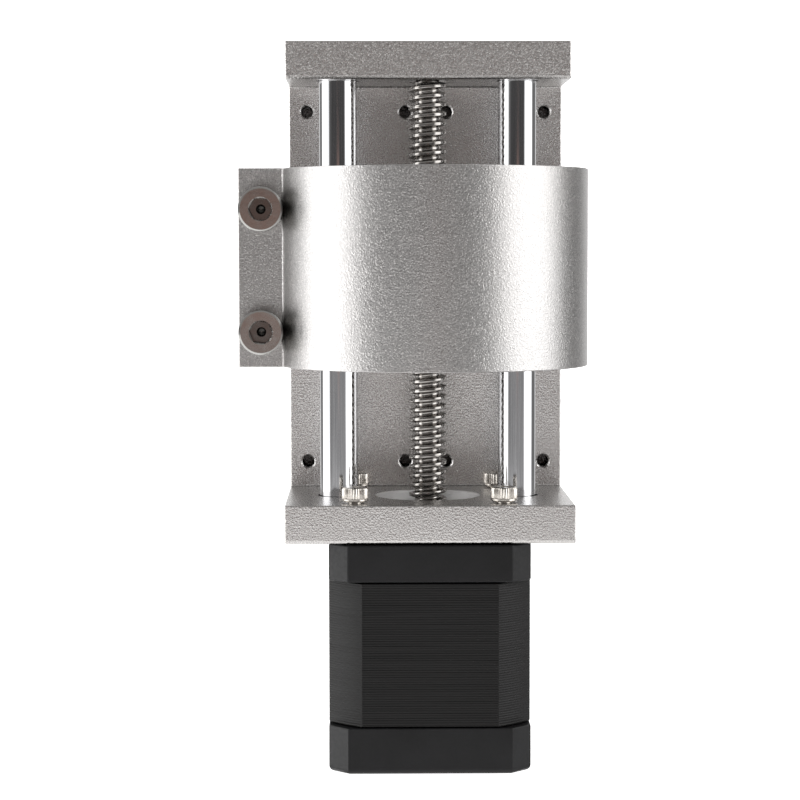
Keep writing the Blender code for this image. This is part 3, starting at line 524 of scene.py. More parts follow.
def thread_rings(radius, root, low, high, spacing, root_share):
    """Turned rings in place of a fine thread, and the level at which they end."""
    rings = []
    level = low
    while level + spacing < high:
        rings += [(radius, level + spacing * 0.35), (radius, level + spacing * 0.55),
                  (root, level + spacing * root_share)]
        level += spacing
    return rings, level


def set_screw(name, radius, length, socket, spacing):
    """Upright, with its open end at zero, and a hexagon socket."""
    point_top = -length + radius * 0.33
    rings, _ = thread_rings(radius, radius * 0.86, point_top, -radius * 0.15, spacing, 0.9)
    profile = [(radius * 0.62, -length), (radius * 0.95, point_top)] + rings
    profile += [(radius * 0.97, -radius * 0.12), (radius * 0.88, 0.0)]
    screw = turned(name, profile, 40)
    hexagon = socket / math.sqrt(3.0)
    carve(screw, turned("socket", [(hexagon, -length * 0.45), (hexagon, length)], 6))
    return screw


m3_radius = 1.5 * millimetre
m3_grub_socket = 1.5 * millimetre
for node, side in rod_grubs.items():
    low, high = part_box(node)
    screw = set_screw(node + "_detail", m3_radius, high.x - low.x, m3_grub_socket, thread_pitch)
    screw.data.transform(outwards[side])
    outer_end = high.x if side > 0 else low.x
    screw.data.transform(Matrix.Translation((outer_end, axis_y, centre_of(node).z)))
    finished(screw, black_steel, "frame", "black_steel", node)


# The ball bearing in the top plate, seated from below. Ground steel races, and balls in a wire
# cage, which show in the gap round the screw.

bearing_steel = Finish("ground_steel", (0.58, 0.58, 0.585), 0.22, 1.0)
ground = bearing_steel.streaks((400.0, 400.0, 4000.0))
bearing_steel.dull(ground, 0.16, 0.30)
bearing_steel.tint(bearing_steel.ranged(ground, 0.3, 0.7), (0.50, 0.50, 0.505), (0.64, 0.64, 0.645))


def race(node, body, inner_radius, groove_outside):
    """A bearing ring with a ball groove on one side and broken edges."""
    low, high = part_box(node)
    outer_radius = radius_of(node)
    middle = (low.z + high.z) / 2
    edge = 0.12 * millimetre
    depth = (outer_radius - inner_radius) * 0.35
    groove = (high.z - low.z) * 0.28
    angles = [math.pi * step / 6 for step in range(7)]
    dips = [(math.sin(angle) * depth, middle - math.cos(angle) * groove) for angle in angles]
    ends = both_ends(low.z, high.z, [(inner_radius, edge), (inner_radius + edge, 0.0),
                                     (outer_radius - edge, 0.0), (outer_radius, edge)])
    if groove_outside:
        profile = ends[:4] + [(outer_radius - dip, level) for dip, level in dips] + ends[4:]
    else:
        dips.reverse()
        profile = ends[4:] + [(inner_radius + dip, level) for dip, level in dips] + ends[:4]
    ring = turned(node.replace("_race", "_ring"), profile, 72, on_axis, ring=True)
    finished(ring, bearing_steel, body, "bearing_steel", node)


def restyled(finish, *nodes):
    """A CAD piece whose shape is right gets its real finish."""
    for node in nodes:
        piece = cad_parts[node]
        piece.data.materials.clear()
        piece.data.materials.append(finish.material)


inner_bore = 2.8 * millimetre
outer_bores = {"top": 4.45 * millimetre, "front": 6.45 * millimetre, "rear": 6.45 * millimetre}
for bearing in outer_bores:
    race(bearing + "_bearing_inner_race", "screw", inner_bore, True)
for bearing, outer_bore in outer_bores.items():
    race(bearing + "_bearing_outer_race", "frame", outer_bore, False)
restyled(bearing_steel, "top_bearing_balls", "front_bearing_balls", "rear_bearing_balls",
         "motor_wave_washer")


# The lead screw, 8 mm across with a pitch of 2 mm. Its trapezoidal thread is rolled into stainless
# steel, so crests and roots are a little round. The same bar is the motor's shaft.

pitch = 2.0 * millimetre
screw_radius = (screw_high.x - screw_low.x) / 2
root_radius = screw_radius - 1.27 * millimetre
shaft_radius = 2.5 * millimetre
clamp_low, clamp_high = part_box("spindle_clamp")
thread_middle = (clamp_low.z + clamp_high.z) / 2
bell_low, bell_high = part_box("motor_front_bell")
thread_low = bell_high.z + seat_gap
thread_high = top_underside - seat_gap
shaft_edge = 0.3 * millimetre
journal_edge = 0.4 * millimetre
screw_sides = 56
crest_half = 0.36 * millimetre
foot_half = 0.70 * millimetre
rolled_edge = 0.10 * millimetre


def put_in_scene(name, data):
    piece = bpy.data.objects.new(name, data)
    bpy.context.scene.collection.objects.link(piece)
    return piece


def helical_thread(name, low, high, crest_radius, valley_radius, half_crest, half_foot, edge):
    """One pitch of the profile, swept up a right-handed helix that passes the carriage's middle."""
    slope = (half_foot - half_crest) / (crest_radius - valley_radius)
    flank = [(valley_radius, half_foot + edge), (valley_radius + edge * 0.3, half_foot + edge * 0.25),
             (valley_radius + edge, half_foot - edge * slope),
             (crest_radius - edge, half_crest + edge * slope),
             (crest_radius - edge * 0.3, half_crest - edge * 0.25), (crest_radius, half_crest - edge)]
    profile = flank[2:] + [(radius, -level) for radius, level in reversed(flank)]
    profile += [(radius, level - pitch) for radius, level in flank[:3]]
    below = math.ceil((thread_middle - low) / pitch) + 2
    above = math.ceil((high - thread_middle) / pitch) + 2
    start = thread_middle - below * pitch
    mesh = bpy.data.meshes.new(name)
    mesh.from_pydata([(radius, 0.0, start + level) for radius, level in profile],
                     [(i, i + 1) for i in range(len(profile) - 1)], [])
    thread = put_in_scene(name, mesh)
    apply_modifier(thread, "SCREW", {"steps": screw_sides, "render_steps": screw_sides,
                                     "screw_offset": pitch, "iterations": below + above})
    edit(thread)
    bpy.ops.mesh.select_all(action="SELECT")
    bpy.ops.mesh.remove_doubles(threshold=0.000002)
    for level, inner, outer in ((low, True, False), (high, False, True)):
        bpy.ops.mesh.select_all(action="SELECT")
        bpy.ops.mesh.bisect(plane_co=(0.0, 0.0, level), plane_no=(0.0, 0.0, 1.0), use_fill=True,
                            clear_inner=inner, clear_outer=outer)
    bpy.ops.mesh.select_all(action="SELECT")
    bpy.ops.mesh.normals_make_consistent(inside=False)
    stop_editing()
    return thread


screw = helical_thread("rolled_lead_screw", thread_low, thread_high, screw_radius, root_radius,
                       crest_half, foot_half, rolled_edge)
carve(screw, turned("shaft", [(shaft_radius - shaft_edge, screw_low.z),
                              (shaft_radius, screw_low.z + shaft_edge),
                              (shaft_radius, thread_low + pitch)], 48), "UNION")
carve(screw, turned("journal", [(shaft_radius, thread_high - pitch),
                                (shaft_radius, screw_high.z - journal_edge),
                                (shaft_radius - journal_edge, screw_high.z)], 48), "UNION")
screw.data.transform(Matrix.Translation(on_axis))
screw_metal = Finish("rolled_steel", (0.34, 0.325, 0.31), 0.11, 1.0)
roll_marks = screw_metal.streaks((700.0, 700.0, 3200.0), 3.0, 0.6)
screw_metal.dull(roll_marks, 0.07, 0.14)
screw_metal.tint(screw_metal.ranged(roll_marks, 0.32, 0.68), (0.26, 0.245, 0.23), (0.41, 0.395, 0.38))
screw_metal.bumps(roll_marks, 0.00001, 0.5)
finished(screw, screw_metal, "screw", "screw_steel", "lead_screw")


# The stepper motor's front end bell. Die-cast aluminium, machined on the front and painted matt
# black, with chamfered corners and a pilot boss that fits the base plate's hole.

motor_black = Finish("painted_casting", (0.008, 0.008, 0.0085), 0.42, 0.0)
motor_black.set("Specular IOR Level", 0.26)
paint_grain = motor_black.noise(1400.0, 3.0, 0.6)
motor_black.dull(paint_grain, 0.36, 0.52)
motor_black.tint(motor_black.ranged(motor_black.noise(90.0), 0.3, 0.7),
                 (0.006, 0.006, 0.0065), (0.010, 0.010, 0.011))
motor_black.bumps(paint_grain, 0.00003, 0.5)
motor_half = (bell_high.x - bell_low.x) / 2
bell_chamfer = 4.0 * millimetre


def chamfered_square(name, low_z, high_z):
    """A square block of the motor's width, whose four upright edges are cut at 45 degrees."""
    body = block(name, (axis_x - motor_half, axis_y - motor_half, low_z),
                 (axis_x + motor_half, axis_y + motor_half, high_z))

    def upright(edge):
        first, second = ends_of(body, edge)
        return abs(first.z - second.z) > (high_z - low_z) / 2

    pick(body, "EDGE", upright)
    bpy.ops.mesh.bevel(offset=bell_chamfer, segments=1)
    stop_editing()
    return body


front_bell = chamfered_square("front_bell", bell_low.z, channel_low.z - seat_gap)
soften(front_bell, broken_edges, 3, 30.0)
boss_radius = 10.7 * millimetre
boss_edge = 0.3 * millimetre
cavity_top = bell_low.z + 4.0 * millimetre
carve(front_bell, turned("boss", [(boss_radius, cavity_top), (boss_radius, bell_high.z - boss_edge),
                                  (boss_radius - boss_edge, bell_high.z)], 96, on_axis), "UNION")
pocket_play = 0.15 * millimetre
bearing_pocket = radius_of("front_bearing_outer_race") + pocket_play
pocket_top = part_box("front_bearing_outer_race")[1].z + seat_gap
cavity_radius = 18.7 * millimetre
shaft_hole = 3.4 * millimetre
bell_screw_hole = 1.65 * millimetre
drill(front_bell, [
    (cavity_radius, bell_low.z - end_plate), (cavity_radius, cavity_top), (bearing_pocket, cavity_top),
    (bearing_pocket, pocket_top), (shaft_hole, pocket_top), (shaft_hole, bell_high.z + end_plate)],
    96, [on_axis])
drill(front_bell, through(bell_screw_hole, bell_low.z, bell_high.z), 32, motor_screw_places)
finished(front_bell, motor_black, "frame", "black_casting", "motor_front_bell")


# The stator: about sixty thin sheets of silicon steel, stacked and painted black. The sheets'
# edges show as fine level lines, and the corners are ground to a round of 50 mm.

stator_low, stator_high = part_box("motor_stator")
sheet_black = Finish("painted_sheets", (0.008, 0.008, 0.008), 0.44, 0.0)
sheet_black.set("Specular IOR Level", 0.22)
stack = sheet_black.streaks((25.0, 25.0, 2600.0), 2.0, 0.55)
sheet_lines = sheet_black.level_bands(628.0, 0.2, 1.0, 0.4)
sheet_black.dull(stack, 0.38, 0.56)
sheet_black.tint(sheet_black.ranged(stack, 0.3, 0.7), (0.004, 0.004, 0.004), (0.011, 0.0105, 0.0105))
sheet_black.bumps(sheet_lines * 0.6 + stack * 0.5, 0.00010, 0.8)
stator_corner_radius = 25.3 * millimetre
slot_radius = 18.2 * millimetre
bore_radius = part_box("rotor_front_cup")[1].x + 0.3 * millimetre
shoe_radius = bore_radius + 1.6 * millimetre
neck_half = 2.2 * millimetre
pole_count = 8
tooth_count = 48
tooth_gap_half = 0.38 * millimetre
tooth_gap_depth = 0.6 * millimetre
pole_gap_half = 1.3 * millimetre
cutter_reach = 1 * millimetre
case_hole = 1.8 * millimetre
ground_edge = 0.12 * millimetre

stator = block("stator_stack", (axis_x - motor_half, axis_y - motor_half, stator_low.z),
               (axis_x + motor_half, axis_y + motor_half, stator_high.z))
soften(stator, ground_edge, 1, 30.0)
carve(stator, turned("corner_round", through(stator_corner_radius, stator_low.z, stator_high.z), 256,
                     on_axis), "INTERSECT")
drill(stator, through(slot_radius, stator_low.z, stator_high.z), 96, [on_axis])
shoes = turned("pole_shoes", [(bore_radius, stator_low.z), (shoe_radius, stator_low.z),
                              (shoe_radius, stator_high.z), (bore_radius, stator_high.z)], 144,
               ring=True)


def gap_cutter(share, half, reach):
    """A cutter for a gap in the pole shoes, at that share of a turn."""
    cutter = block("gap_cutter", (bore_radius - cutter_reach, -half, stator_low.z - end_plate),
                   (reach, half, stator_high.z + end_plate))
    cutter.data.transform(Matrix.Rotation(math.tau * share, 4, "Z"))
    return cutter


cutters = []
for step in range(tooth_count):
    if step % (tooth_count // pole_count):
        cutters.append(gap_cutter(step / tooth_count, tooth_gap_half, bore_radius + tooth_gap_depth))
for step in range(pole_count):
    cutters.append(gap_cutter((step + 0.5) / pole_count, pole_gap_half, shoe_radius + cutter_reach))
carve(shoes, joined("gap_cutters", cutters))
necks = []
for step in range(pole_count):
    neck = block("pole_neck", (shoe_radius - 0.3 * millimetre, -neck_half, stator_low.z),
                 (slot_radius + 0.4 * millimetre, neck_half, stator_high.z))
    neck.data.transform(Matrix.Rotation(math.tau * step / pole_count, 4, "Z"))
    necks.append(neck)
carve(shoes, joined("pole_necks", necks), "UNION")
shoes.data.transform(Matrix.Translation(on_axis))
carve(stator, shoes, "UNION")
drill(stator, through(case_hole, stator_low.z, stator_high.z), 32, motor_screw_places)
finished(stator, sheet_black, "frame", "black_laminations", "motor_stator")


# Inside the stator: moulded insulators, eight coils of enamelled copper wire, and the rotor of two
# toothed steel cups with a magnet between them, pressed on the shaft.

insulator_plastic = Finish("moulded_nylon", (0.68, 0.64, 0.54), 0.5, 0.0)
insulator_plastic.tint(insulator_plastic.noise(260.0), (0.62, 0.58, 0.48), (0.74, 0.70, 0.60))
insulator_plastic.bumps(insulator_plastic.noise(1800.0), 0.00002, 0.4)
restyled(insulator_plastic, "motor_front_insulator", "motor_rear_insulator")

enamelled_copper = Finish("enamelled_copper", (0.55, 0.22, 0.08), 0.28, 1.0)
turns = enamelled_copper.level_bands(900.0, 0.4)
enamelled_copper.tint(turns, (0.30, 0.10, 0.035), (0.62, 0.26, 0.10))
enamelled_copper.bumps(turns, 0.00015, 0.7)
restyled(enamelled_copper, *[f"motor_coil_{number}" for number in range(1, pole_count + 1)])

sheet_steel = Finish("rotor_sheets", (0.45, 0.44, 0.43), 0.35, 1.0)
stacked = sheet_steel.streaks((40.0, 40.0, 2400.0))
sheet_steel.tint(stacked, (0.34, 0.33, 0.32), (0.52, 0.51, 0.50))
sheet_steel.bumps(stacked, 0.00008, 0.6)
restyled(sheet_steel, "rotor_front_cup", "rotor_rear_cup")

magnet_grey = Finish("sintered_magnet", (0.20, 0.20, 0.21), 0.4, 1.0)
magnet_grey.tint(magnet_grey.noise(700.0), (0.15, 0.15, 0.16), (0.27, 0.27, 0.28))
magnet_grey.bumps(magnet_grey.noise(1500.0, 3.0), 0.00003, 0.5)
restyled(magnet_grey, "rotor_magnet")


# The rear end bell, die-cast and painted like the front one. Its lower edges are round, its
# corners are chamfered, and a notch at the back takes the plug's socket.

rear_low, rear_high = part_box("motor_rear_bell")
socket_low, socket_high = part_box("motor_connector_socket")
rear_pocket = radius_of("rear_bearing_outer_race") + pocket_play
washer_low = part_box("motor_wave_washer")[0].z - seat_gap
rear_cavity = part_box("motor_rear_insulator")[0].z - 1.2 * millimetre
rear_round = 1.2 * millimetre
rear_edge = 0.3 * millimetre
rear_bell = chamfered_square("rear_bell", rear_low.z, rear_high.z)
pick(rear_bell, "FACE", lambda face: face.normal.z < -0.9)
bpy.ops.mesh.bevel(offset=rear_round, segments=5, affect="EDGES")
stop_editing()
soften(rear_bell, rear_edge, 2, 50.0)
drill(rear_bell, [
    (rear_pocket, washer_low), (rear_pocket, rear_cavity), (cavity_radius, rear_cavity),
    (cavity_radius, rear_high.z + end_plate)], 96, [on_axis])
clear = Vector((seat_gap, seat_gap, seat_gap))
carve(rear_bell, block("socket_notch", socket_low - clear, socket_high + clear))

case_screws = ["case_screw_" + corner for corner in corners]
case_screw_places = [(centre_of(node).x, centre_of(node).y, 0.0) for node in case_screws]
case_screw_low, case_screw_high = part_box(case_screws[0])
case_head_radius = radius_of(case_screws[0])
case_head = 1.8 * millimetre
case_head_seat = case_screw_low.z + case_head
drill(rear_bell, [
    (case_head_radius + 1.5 * seat_gap, rear_low.z - end_plate),
    (case_head_radius + 1.5 * seat_gap, rear_low.z),
    (case_head_radius + seat_gap, rear_low.z + seat_gap), (case_head_radius + seat_gap, case_head_seat),
    (bell_screw_hole, case_head_seat), (bell_screw_hole, rear_high.z + end_plate)],
    48, case_screw_places)
finished(rear_bell, motor_black, "frame", "black_casting", "motor_rear_bell")


# Socket screws of nickel-plated steel. Four M3 ones go down through the base plate into the motor,
# and their heads are knurled above a smooth collar. Four longer ones hold the motor's case.

warm_nickel = Finish("nickel_plating", (0.60, 0.565, 0.52), 0.2, 1.0)
plating = warm_nickel.noise(800.0, 3.0, 0.6)
warm_nickel.dull(plating, 0.15, 0.29)
warm_nickel.tint(plating, (0.50, 0.465, 0.42), (0.69, 0.66, 0.62))
warm_nickel.bumps(plating, 0.00001, 0.4)


def cap_screw(name, radius, length, head_radius, head_height, socket, knurls=0):
    """Upright, with its head's seat at zero. The head is turned, knurled and then broached."""
    spacing = radius * 0.33
    rim = head_height * (0.09 if knurls else 0.045)
    point_top = -length + radius * 0.3
    rings, level = thread_rings(radius, radius * 0.87, point_top, -head_height * 0.5, spacing, 0.95)
    profile = [(radius * 0.72, -length), (radius * 0.97, point_top)] + rings
    profile += [(radius, level + spacing * 0.3), (radius, 0.0), (head_radius - rim, 0.0),
                (head_radius, rim), (head_radius, head_height * 0.20)]
    if knurls:
        profile += [(head_radius * 0.965, head_height * 0.23), (head_radius, head_height * 0.28)]
    profile += [(head_radius, head_height - rim * 1.6),
                (head_radius - rim * 0.45, head_height - rim * 0.55),
                (head_radius - rim * 1.6, head_height)]
    screw = turned(name, profile, 2 * knurls if knurls else 72)
    if knurls:
        def in_groove(corner):
            turn = math.atan2(corner.co.y, corner.co.x) / math.pi * knurls
            on_side = head_height * 0.27 < corner.co.z < head_height - rim * 1.5
            return on_side and round(turn) % 2 == 0

        pick(screw, "VERT", in_groove)
        bpy.ops.transform.resize(value=(0.95, 0.95, 1.0), center_override=(0.0, 0.0, 0.0))
        stop_editing()
    hexagon = socket / math.sqrt(3.0)
    floor = head_height * 0.42
    carve(screw, turned("socket", [(hexagon, floor), (hexagon, head_height * 2)], 6))
    carve(screw, turned("socket_rim", [(hexagon * 0.80, head_height - hexagon * 0.20),
                                       (hexagon * 1.04, head_height + hexagon * 0.04)], 48))
    carve(screw, turned("drill_point", [(hexagon * 0.04, floor - hexagon * 0.30),
                                        (hexagon * 0.40, floor),
                                        (hexagon * 0.40, floor + hexagon * 0.1)], 32))
    return screw


def fitted(screw, finish, body, places, angle=32.0):
    """A copy of the screw for each node, with its own mesh. The first screw is then removed."""
    for node, place in places.items():
        piece = screw.copy()
        piece.data = screw.data.copy()
        piece.name = node + "_detail"
        bpy.context.scene.collection.objects.link(piece)
        piece.data.transform(place)
        finished(piece, finish, body, "plated_screws", node, angle=angle)
    bpy.data.objects.remove(screw, do_unlink=True)


mount_low, mount_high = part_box(motor_screws[0])
m3_head = 3.0 * millimetre
m3_socket = 2.5 * millimetre
m3_seat = mount_high.z - m3_head
m3_screw = cap_screw("m3_screw", m3_radius, m3_seat - mount_low.z, radius_of(motor_screws[0]), m3_head,
                     m3_socket, 36)
places = {node: Matrix.Translation((x, y, m3_seat))
          for node, (x, y, _) in zip(motor_screws, motor_screw_places)}
fitted(m3_screw, warm_nickel, "frame", places, 24.0)

case_screw = cap_screw("case_screw", m3_radius, case_screw_high.z - case_head_seat, case_head_radius,
                       case_head_seat - case_screw_low.z, m3_socket)
upside_down = Matrix.Rotation(math.pi, 4, "X")
places = {node: Matrix.Translation((x, y, case_head_seat)) @ upside_down
          for node, (x, y, _) in zip(case_screws, case_screw_places)}
fitted(case_screw, warm_nickel, "frame", places)


# The socket for the motor's plug: an ivory nylon moulding with six square pins of tinned brass,
# clipped into the notch at the back of the rear bell.

ivory_nylon = Finish("ivory_nylon", (0.72, 0.68, 0.56), 0.38, 0.0)
ivory_nylon.tint(ivory_nylon.noise(320.0), (0.66, 0.62, 0.50), (0.76, 0.72, 0.61))
ivory_nylon.bumps(ivory_nylon.noise(2200.0), 0.00002, 0.4)
socket_wall = 0.8 * millimetre
key_reach = 5.5 * millimetre
key_half = 0.6 * millimetre
key_depth = 3.0 * millimetre
socket = block("plug_socket", socket_low, socket_high)
soften(socket, 0.18 * millimetre, 2)
mouth_wall = Vector((socket_wall, 2 * socket_wall, socket_wall))
carve(socket, block("mouth", socket_low + mouth_wall,
                    socket_high - mouth_wall + Vector((0.0, 4 * socket_wall, 0.0))))
socket_x = (socket_low.x + socket_high.x) / 2
for x in (socket_x - key_reach, socket_x + key_reach):
    carve(socket, block(
        "key_slot", (x - key_half, socket_high.y - key_depth, socket_high.z - 2 * socket_wall),
        (x + key_half, socket_high.y + socket_wall, socket_high.z + socket_wall)))
finished(socket, ivory_nylon, "frame", "ivory_plastic", "motor_connector_socket")

pin_count = 6
pin_pitch = 2.0 * millimetre
pin_half = 0.25 * millimetre
pin_level = (socket_low.z + socket_high.z) / 2
pins = []
for step in range(pin_count):
    x = socket_x + (step - (pin_count - 1) / 2) * pin_pitch
    pin = block("pin", (x - pin_half, socket_low.y + socket_wall, pin_level - pin_half),
                (x + pin_half, socket_high.y - 2 * socket_wall, pin_level + pin_half))
    soften(pin, 0.12 * millimetre, 1)
    pins.append(pin)
tinned = Finish("tinned_brass", (0.70, 0.68, 0.62), 0.25, 1.0)
tinned.tint(tinned.noise(1200.0), (0.62, 0.60, 0.54), (0.76, 0.74, 0.68))
finished(joined("socket_pins", pins), tinned, "frame", "plated_screws")


# The carriage: one piece of aluminium, milled, sand-blasted and anodised grey like the channel. The
# block runs on the rods, and the split ring in front holds the spindle.

clamp_metal = blasted_metal("blasted_clamp", (0.45, 0.442, 0.438), 2900.0, 0.00004, 0.31)
rim_round = 0.2 * millimetre
clamp_bore = 26.0 * millimetre
clamp_ring = clamp_high.x
ring_y = clamp_low.y + clamp_ring
block_rear = clamp_high.y
block_front = axis_y - 20.0 * millimetre
block_fillet = 4.0 * millimetre
block_corner = 1.0 * millimetre
ear_corner = 0.3 * millimetre
ear_fillet = 0.5 * millimetre
ear_end = clamp_low.x
ear_face = ring_y - 8.0 * millimetre
ear_rear = ring_y + 11.0 * millimetre
slit_half = 1.0 * millimetre


def arc(centre, radius, start, end, steps):
    """Points from one angle to another, in degrees."""
    angles = [math.radians(start + (end - start) * step / steps) for step in range(steps + 1)]
    return [(centre[0] + radius * math.cos(angle), centre[1] + radius * math.sin(angle))
            for angle in angles]


def circle(centre, radius, sides=96):
    return arc(centre, radius, 0, 360, sides)[:-1]


def angle_at(height, radius):
    return math.degrees(math.asin(height / radius))


def slab(name, loops, low, high, edge):
    """A flat outline with holes, given its height and rounded edges."""
    curve = bpy.data.curves.new(name, "CURVE")
    curve.dimensions = "2D"
    curve.fill_mode = "BOTH"
    curve.extrude = (high - low) / 2 - edge
    curve.bevel_depth = edge
    curve.bevel_resolution = 1
    curve.offset = -edge
    for loop in loops:
        spline = curve.splines.new("POLY")
        spline.points.add(len(loop) - 1)
        for point, (x, y) in zip(spline.points, loop):
            point.co = (x, y, 0.0, 1.0)
        spline.use_cyclic_u = True
    piece = put_in_scene(name, curve)
    piece.location.z = (low + high) / 2
    select_only(piece)
    bpy.ops.object.convert(target="MESH")
    piece = added(name)
    edit(piece)
    bpy.ops.mesh.select_all(action="SELECT")
    bpy.ops.mesh.remove_doubles(threshold=0.000005)
    bpy.ops.mesh.normals_make_consistent(inside=False)
    stop_editing()
    return piece


drop = block_front - ring_y
meet = math.sqrt((clamp_ring + block_fillet) ** 2 - (drop - block_fillet) ** 2)
touch = angle_at(drop - block_fillet, clamp_ring + block_fillet)
ring_middle = (0.0, ring_y)
fillet_y = block_front - block_fillet
half = clamp_ring
outline = [(-half, block_rear - block_corner), (-half + block_corner, block_rear),
           (half - block_corner, block_rear), (half, block_rear - block_corner),
           (half, block_front + block_corner), (half - block_corner, block_front)]
outline += arc((meet, fillet_y), block_fillet, 90, 180 + touch, 10)
fillet_reach = clamp_ring + ear_fillet
front_turn = angle_at(ring_y - ear_face + ear_fillet, fillet_reach)
front_fillet = (-fillet_reach * math.cos(math.radians(front_turn)), ear_face - ear_fillet)
rear_turn = angle_at(ear_rear + ear_fillet - ring_y, fillet_reach)
rear_fillet = (-fillet_reach * math.cos(math.radians(rear_turn)), ear_rear + ear_fillet)
outline += arc(ring_middle, clamp_ring, touch, -180 + front_turn, 96)[1:]
outline += arc(front_fillet, ear_fillet, front_turn, 90, 6)[1:]
outline += [(ear_end + ear_corner, ear_face), (ear_end, ear_face + ear_corner),
            (ear_end, ring_y - slit_half)]
outline += arc(ring_middle, clamp_bore, -180 + angle_at(slit_half, clamp_bore),
               180 - angle_at(slit_half, clamp_bore), 180)
outline += [(ear_end, ring_y + slit_half), (ear_end, ear_rear - ear_corner),
            (ear_end + ear_corner, ear_rear)]
outline += arc(rear_fillet, ear_fillet, -90, -rear_turn, 6)
outline += arc(ring_middle, clamp_ring, 180 - rear_turn, 180 - touch, 10)[1:]
outline += arc((-meet, fillet_y), block_fillet, -touch, 90, 10)[1:]
outline += [(-half + block_corner, block_front), (-half, block_front + block_corner)]

sleeve_radius = radius_of("bearing_sleeve_left")
nut_low, nut_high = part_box("lead_nut")
nut_radius = radius_of("lead_nut")
loops = [outline]
loops += [circle((x, axis_y), sleeve_radius + seat_gap) for x in rod_centres]
loops += [circle((axis_x, axis_y), nut_radius + seat_gap)]
clamp = slab("ring_clamp", loops, clamp_low.z, clamp_high.z, rim_round)

bolts = ["clamp_bolt_lower", "clamp_bolt_upper"]
towards_front = Matrix.Rotation(math.radians(90), 4, "X")
bolt_hole = 2.8 * millimetre
bolt_reach = 25 * millimetre
bolt_places = [(centre_of(node).x, ear_face, centre_of(node).z) for node in bolts]
drill(clamp, [(bolt_hole, -bolt_reach), (bolt_hole, end_plate)], 40, bolt_places, towards_front)
nut_grubs = ["nut_set_screw_lower", "nut_set_screw_upper"]
nut_grub_hole = 2.3 * millimetre
nut_grub_sink = 0.3 * millimetre
nut_grub_places = [(axis_x, block_rear, centre_of(node).z) for node in nut_grubs]
drill(clamp, [(nut_grub_hole, -(block_rear - axis_y)), (nut_grub_hole, -nut_grub_sink),
              (nut_grub_hole + 2 * nut_grub_sink, nut_grub_sink)], 40, nut_grub_places, towards_back)
finished(clamp, clamp_metal, "carriage", "clamp_aluminium", "spindle_clamp")


# Two M5 socket screws of bright steel close the ring. They go in from the front of the ear and
# are tapped into its rear half.

bolt_low, bolt_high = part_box(bolts[0])
m5_radius = 2.5 * millimetre
m5_head = 5.0 * millimetre
m5_socket = 4.0 * millimetre
m5_seat = bolt_low.y + m5_head
bolt_steel = Finish("bright_bolt", (0.46, 0.44, 0.42), 0.13, 1.0)
turned_marks = bolt_steel.noise(700.0, 3.0, 0.6)
bolt_steel.dull(turned_marks, 0.10, 0.17)
across, depth, height = bolt_steel.parts(bolt_steel.place)
bolt_axes = [(x, z) for x, _, z in bolt_places]
# Painted shade: the base colour goes dark inside the hex sockets, from just below their mouths.
painted_shade = bolt_steel.within(across, height, bolt_axes, m5_socket * 0.59, 0.1 * millimetre)
painted_shade = painted_shade * bolt_steel.ranged(depth, bolt_low.y + 0.6 * millimetre, bolt_low.y + 1.6 * millimetre)
tone = bolt_steel.blend(turned_marks, (0.38, 0.375, 0.36), (0.51, 0.51, 0.495))
bolt_steel.tint(painted_shade * 0.6, tone, (0.05, 0.047, 0.045))
bolt_steel.bumps(turned_marks, 0.000012, 0.5)
m5_screw = cap_screw("m5_screw", m5_radius, bolt_high.y - m5_seat, radius_of(bolts[0]), m5_head,
                     m5_socket)
wrench_turns = (22.0, 28.0)
places = {}
for node, (x, _, z), wrench_turn in zip(bolts, bolt_places, wrench_turns):
    places[node] = (Matrix.Translation((x, m5_seat, z)) @ towards_front
                    @ Matrix.Rotation(math.radians(wrench_turn), 4, "Z"))
fitted(m5_screw, bolt_steel, "carriage", places, 20.0)


# A linear ball bearing on each rod: a ground steel sleeve with two grooves, and a plastic cage with
# a sealing lip at each end. Spring rings hold it in the block.

seal_plastic = Finish("cage_plastic", (0.022, 0.022, 0.023), 0.45, 0.0)
seal_plastic.tint(seal_plastic.noise(500.0), (0.016, 0.016, 0.017), (0.034, 0.034, 0.036))
seal_plastic.bumps(seal_plastic.noise(2000.0), 0.00002, 0.4)
edge = 0.3 * millimetre
groove = sleeve_radius - 0.4 * millimetre
groove_width = 1.1 * millimetre
lip = rod_radius + 0.12 * millimetre
inside = rod_radius + 0.45 * millimetre
for side, x in zip(("left", "right"), rod_centres):
    low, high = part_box("bearing_sleeve_" + side)
    cage_low, cage_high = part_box("ball_cage_" + side)
    cage_radius = radius_of("ball_cage_" + side)
    shoulder = (high.z - low.z) * 0.13
    wall = cage_radius + seat_gap
    profile = both_ends(low.z, high.z, [
        (wall, edge), (wall + edge, 0.0), (sleeve_radius - edge, 0.0), (sleeve_radius, edge),
        (sleeve_radius, shoulder), (groove, shoulder), (groove, shoulder + groove_width),
        (sleeve_radius, shoulder + groove_width)])
    sleeve = turned("linear_bearing_" + side, profile, 96, (x, axis_y, 0.0), ring=True)
    finished(sleeve, bearing_steel, "carriage", "bearing_steel", "bearing_sleeve_" + side)
    profile = both_ends(cage_low.z, cage_high.z, [
        (lip, edge), (lip + edge, 0.0), (cage_radius - 2 * edge, 0.0), (cage_radius - edge, edge),
        (cage_radius, 2 * edge)])
    profile += [(inside, cage_high.z - 3 * edge), (inside, cage_low.z + 3 * edge)]
    cage = turned("sealed_cage_" + side, profile, 96, (x, axis_y, 0.0), ring=True)
    finished(cage, seal_plastic, "carriage", "dark_plastic", "ball_cage_" + side)
restyled(black_steel, "retaining_ring_lower_left", "retaining_ring_lower_right",
         "retaining_ring_upper_left", "retaining_ring_upper_right")


# The lead nut, a turned brass cylinder with the screw's thread cut in it, and the two M4 set
# screws that hold it from the back of the block.

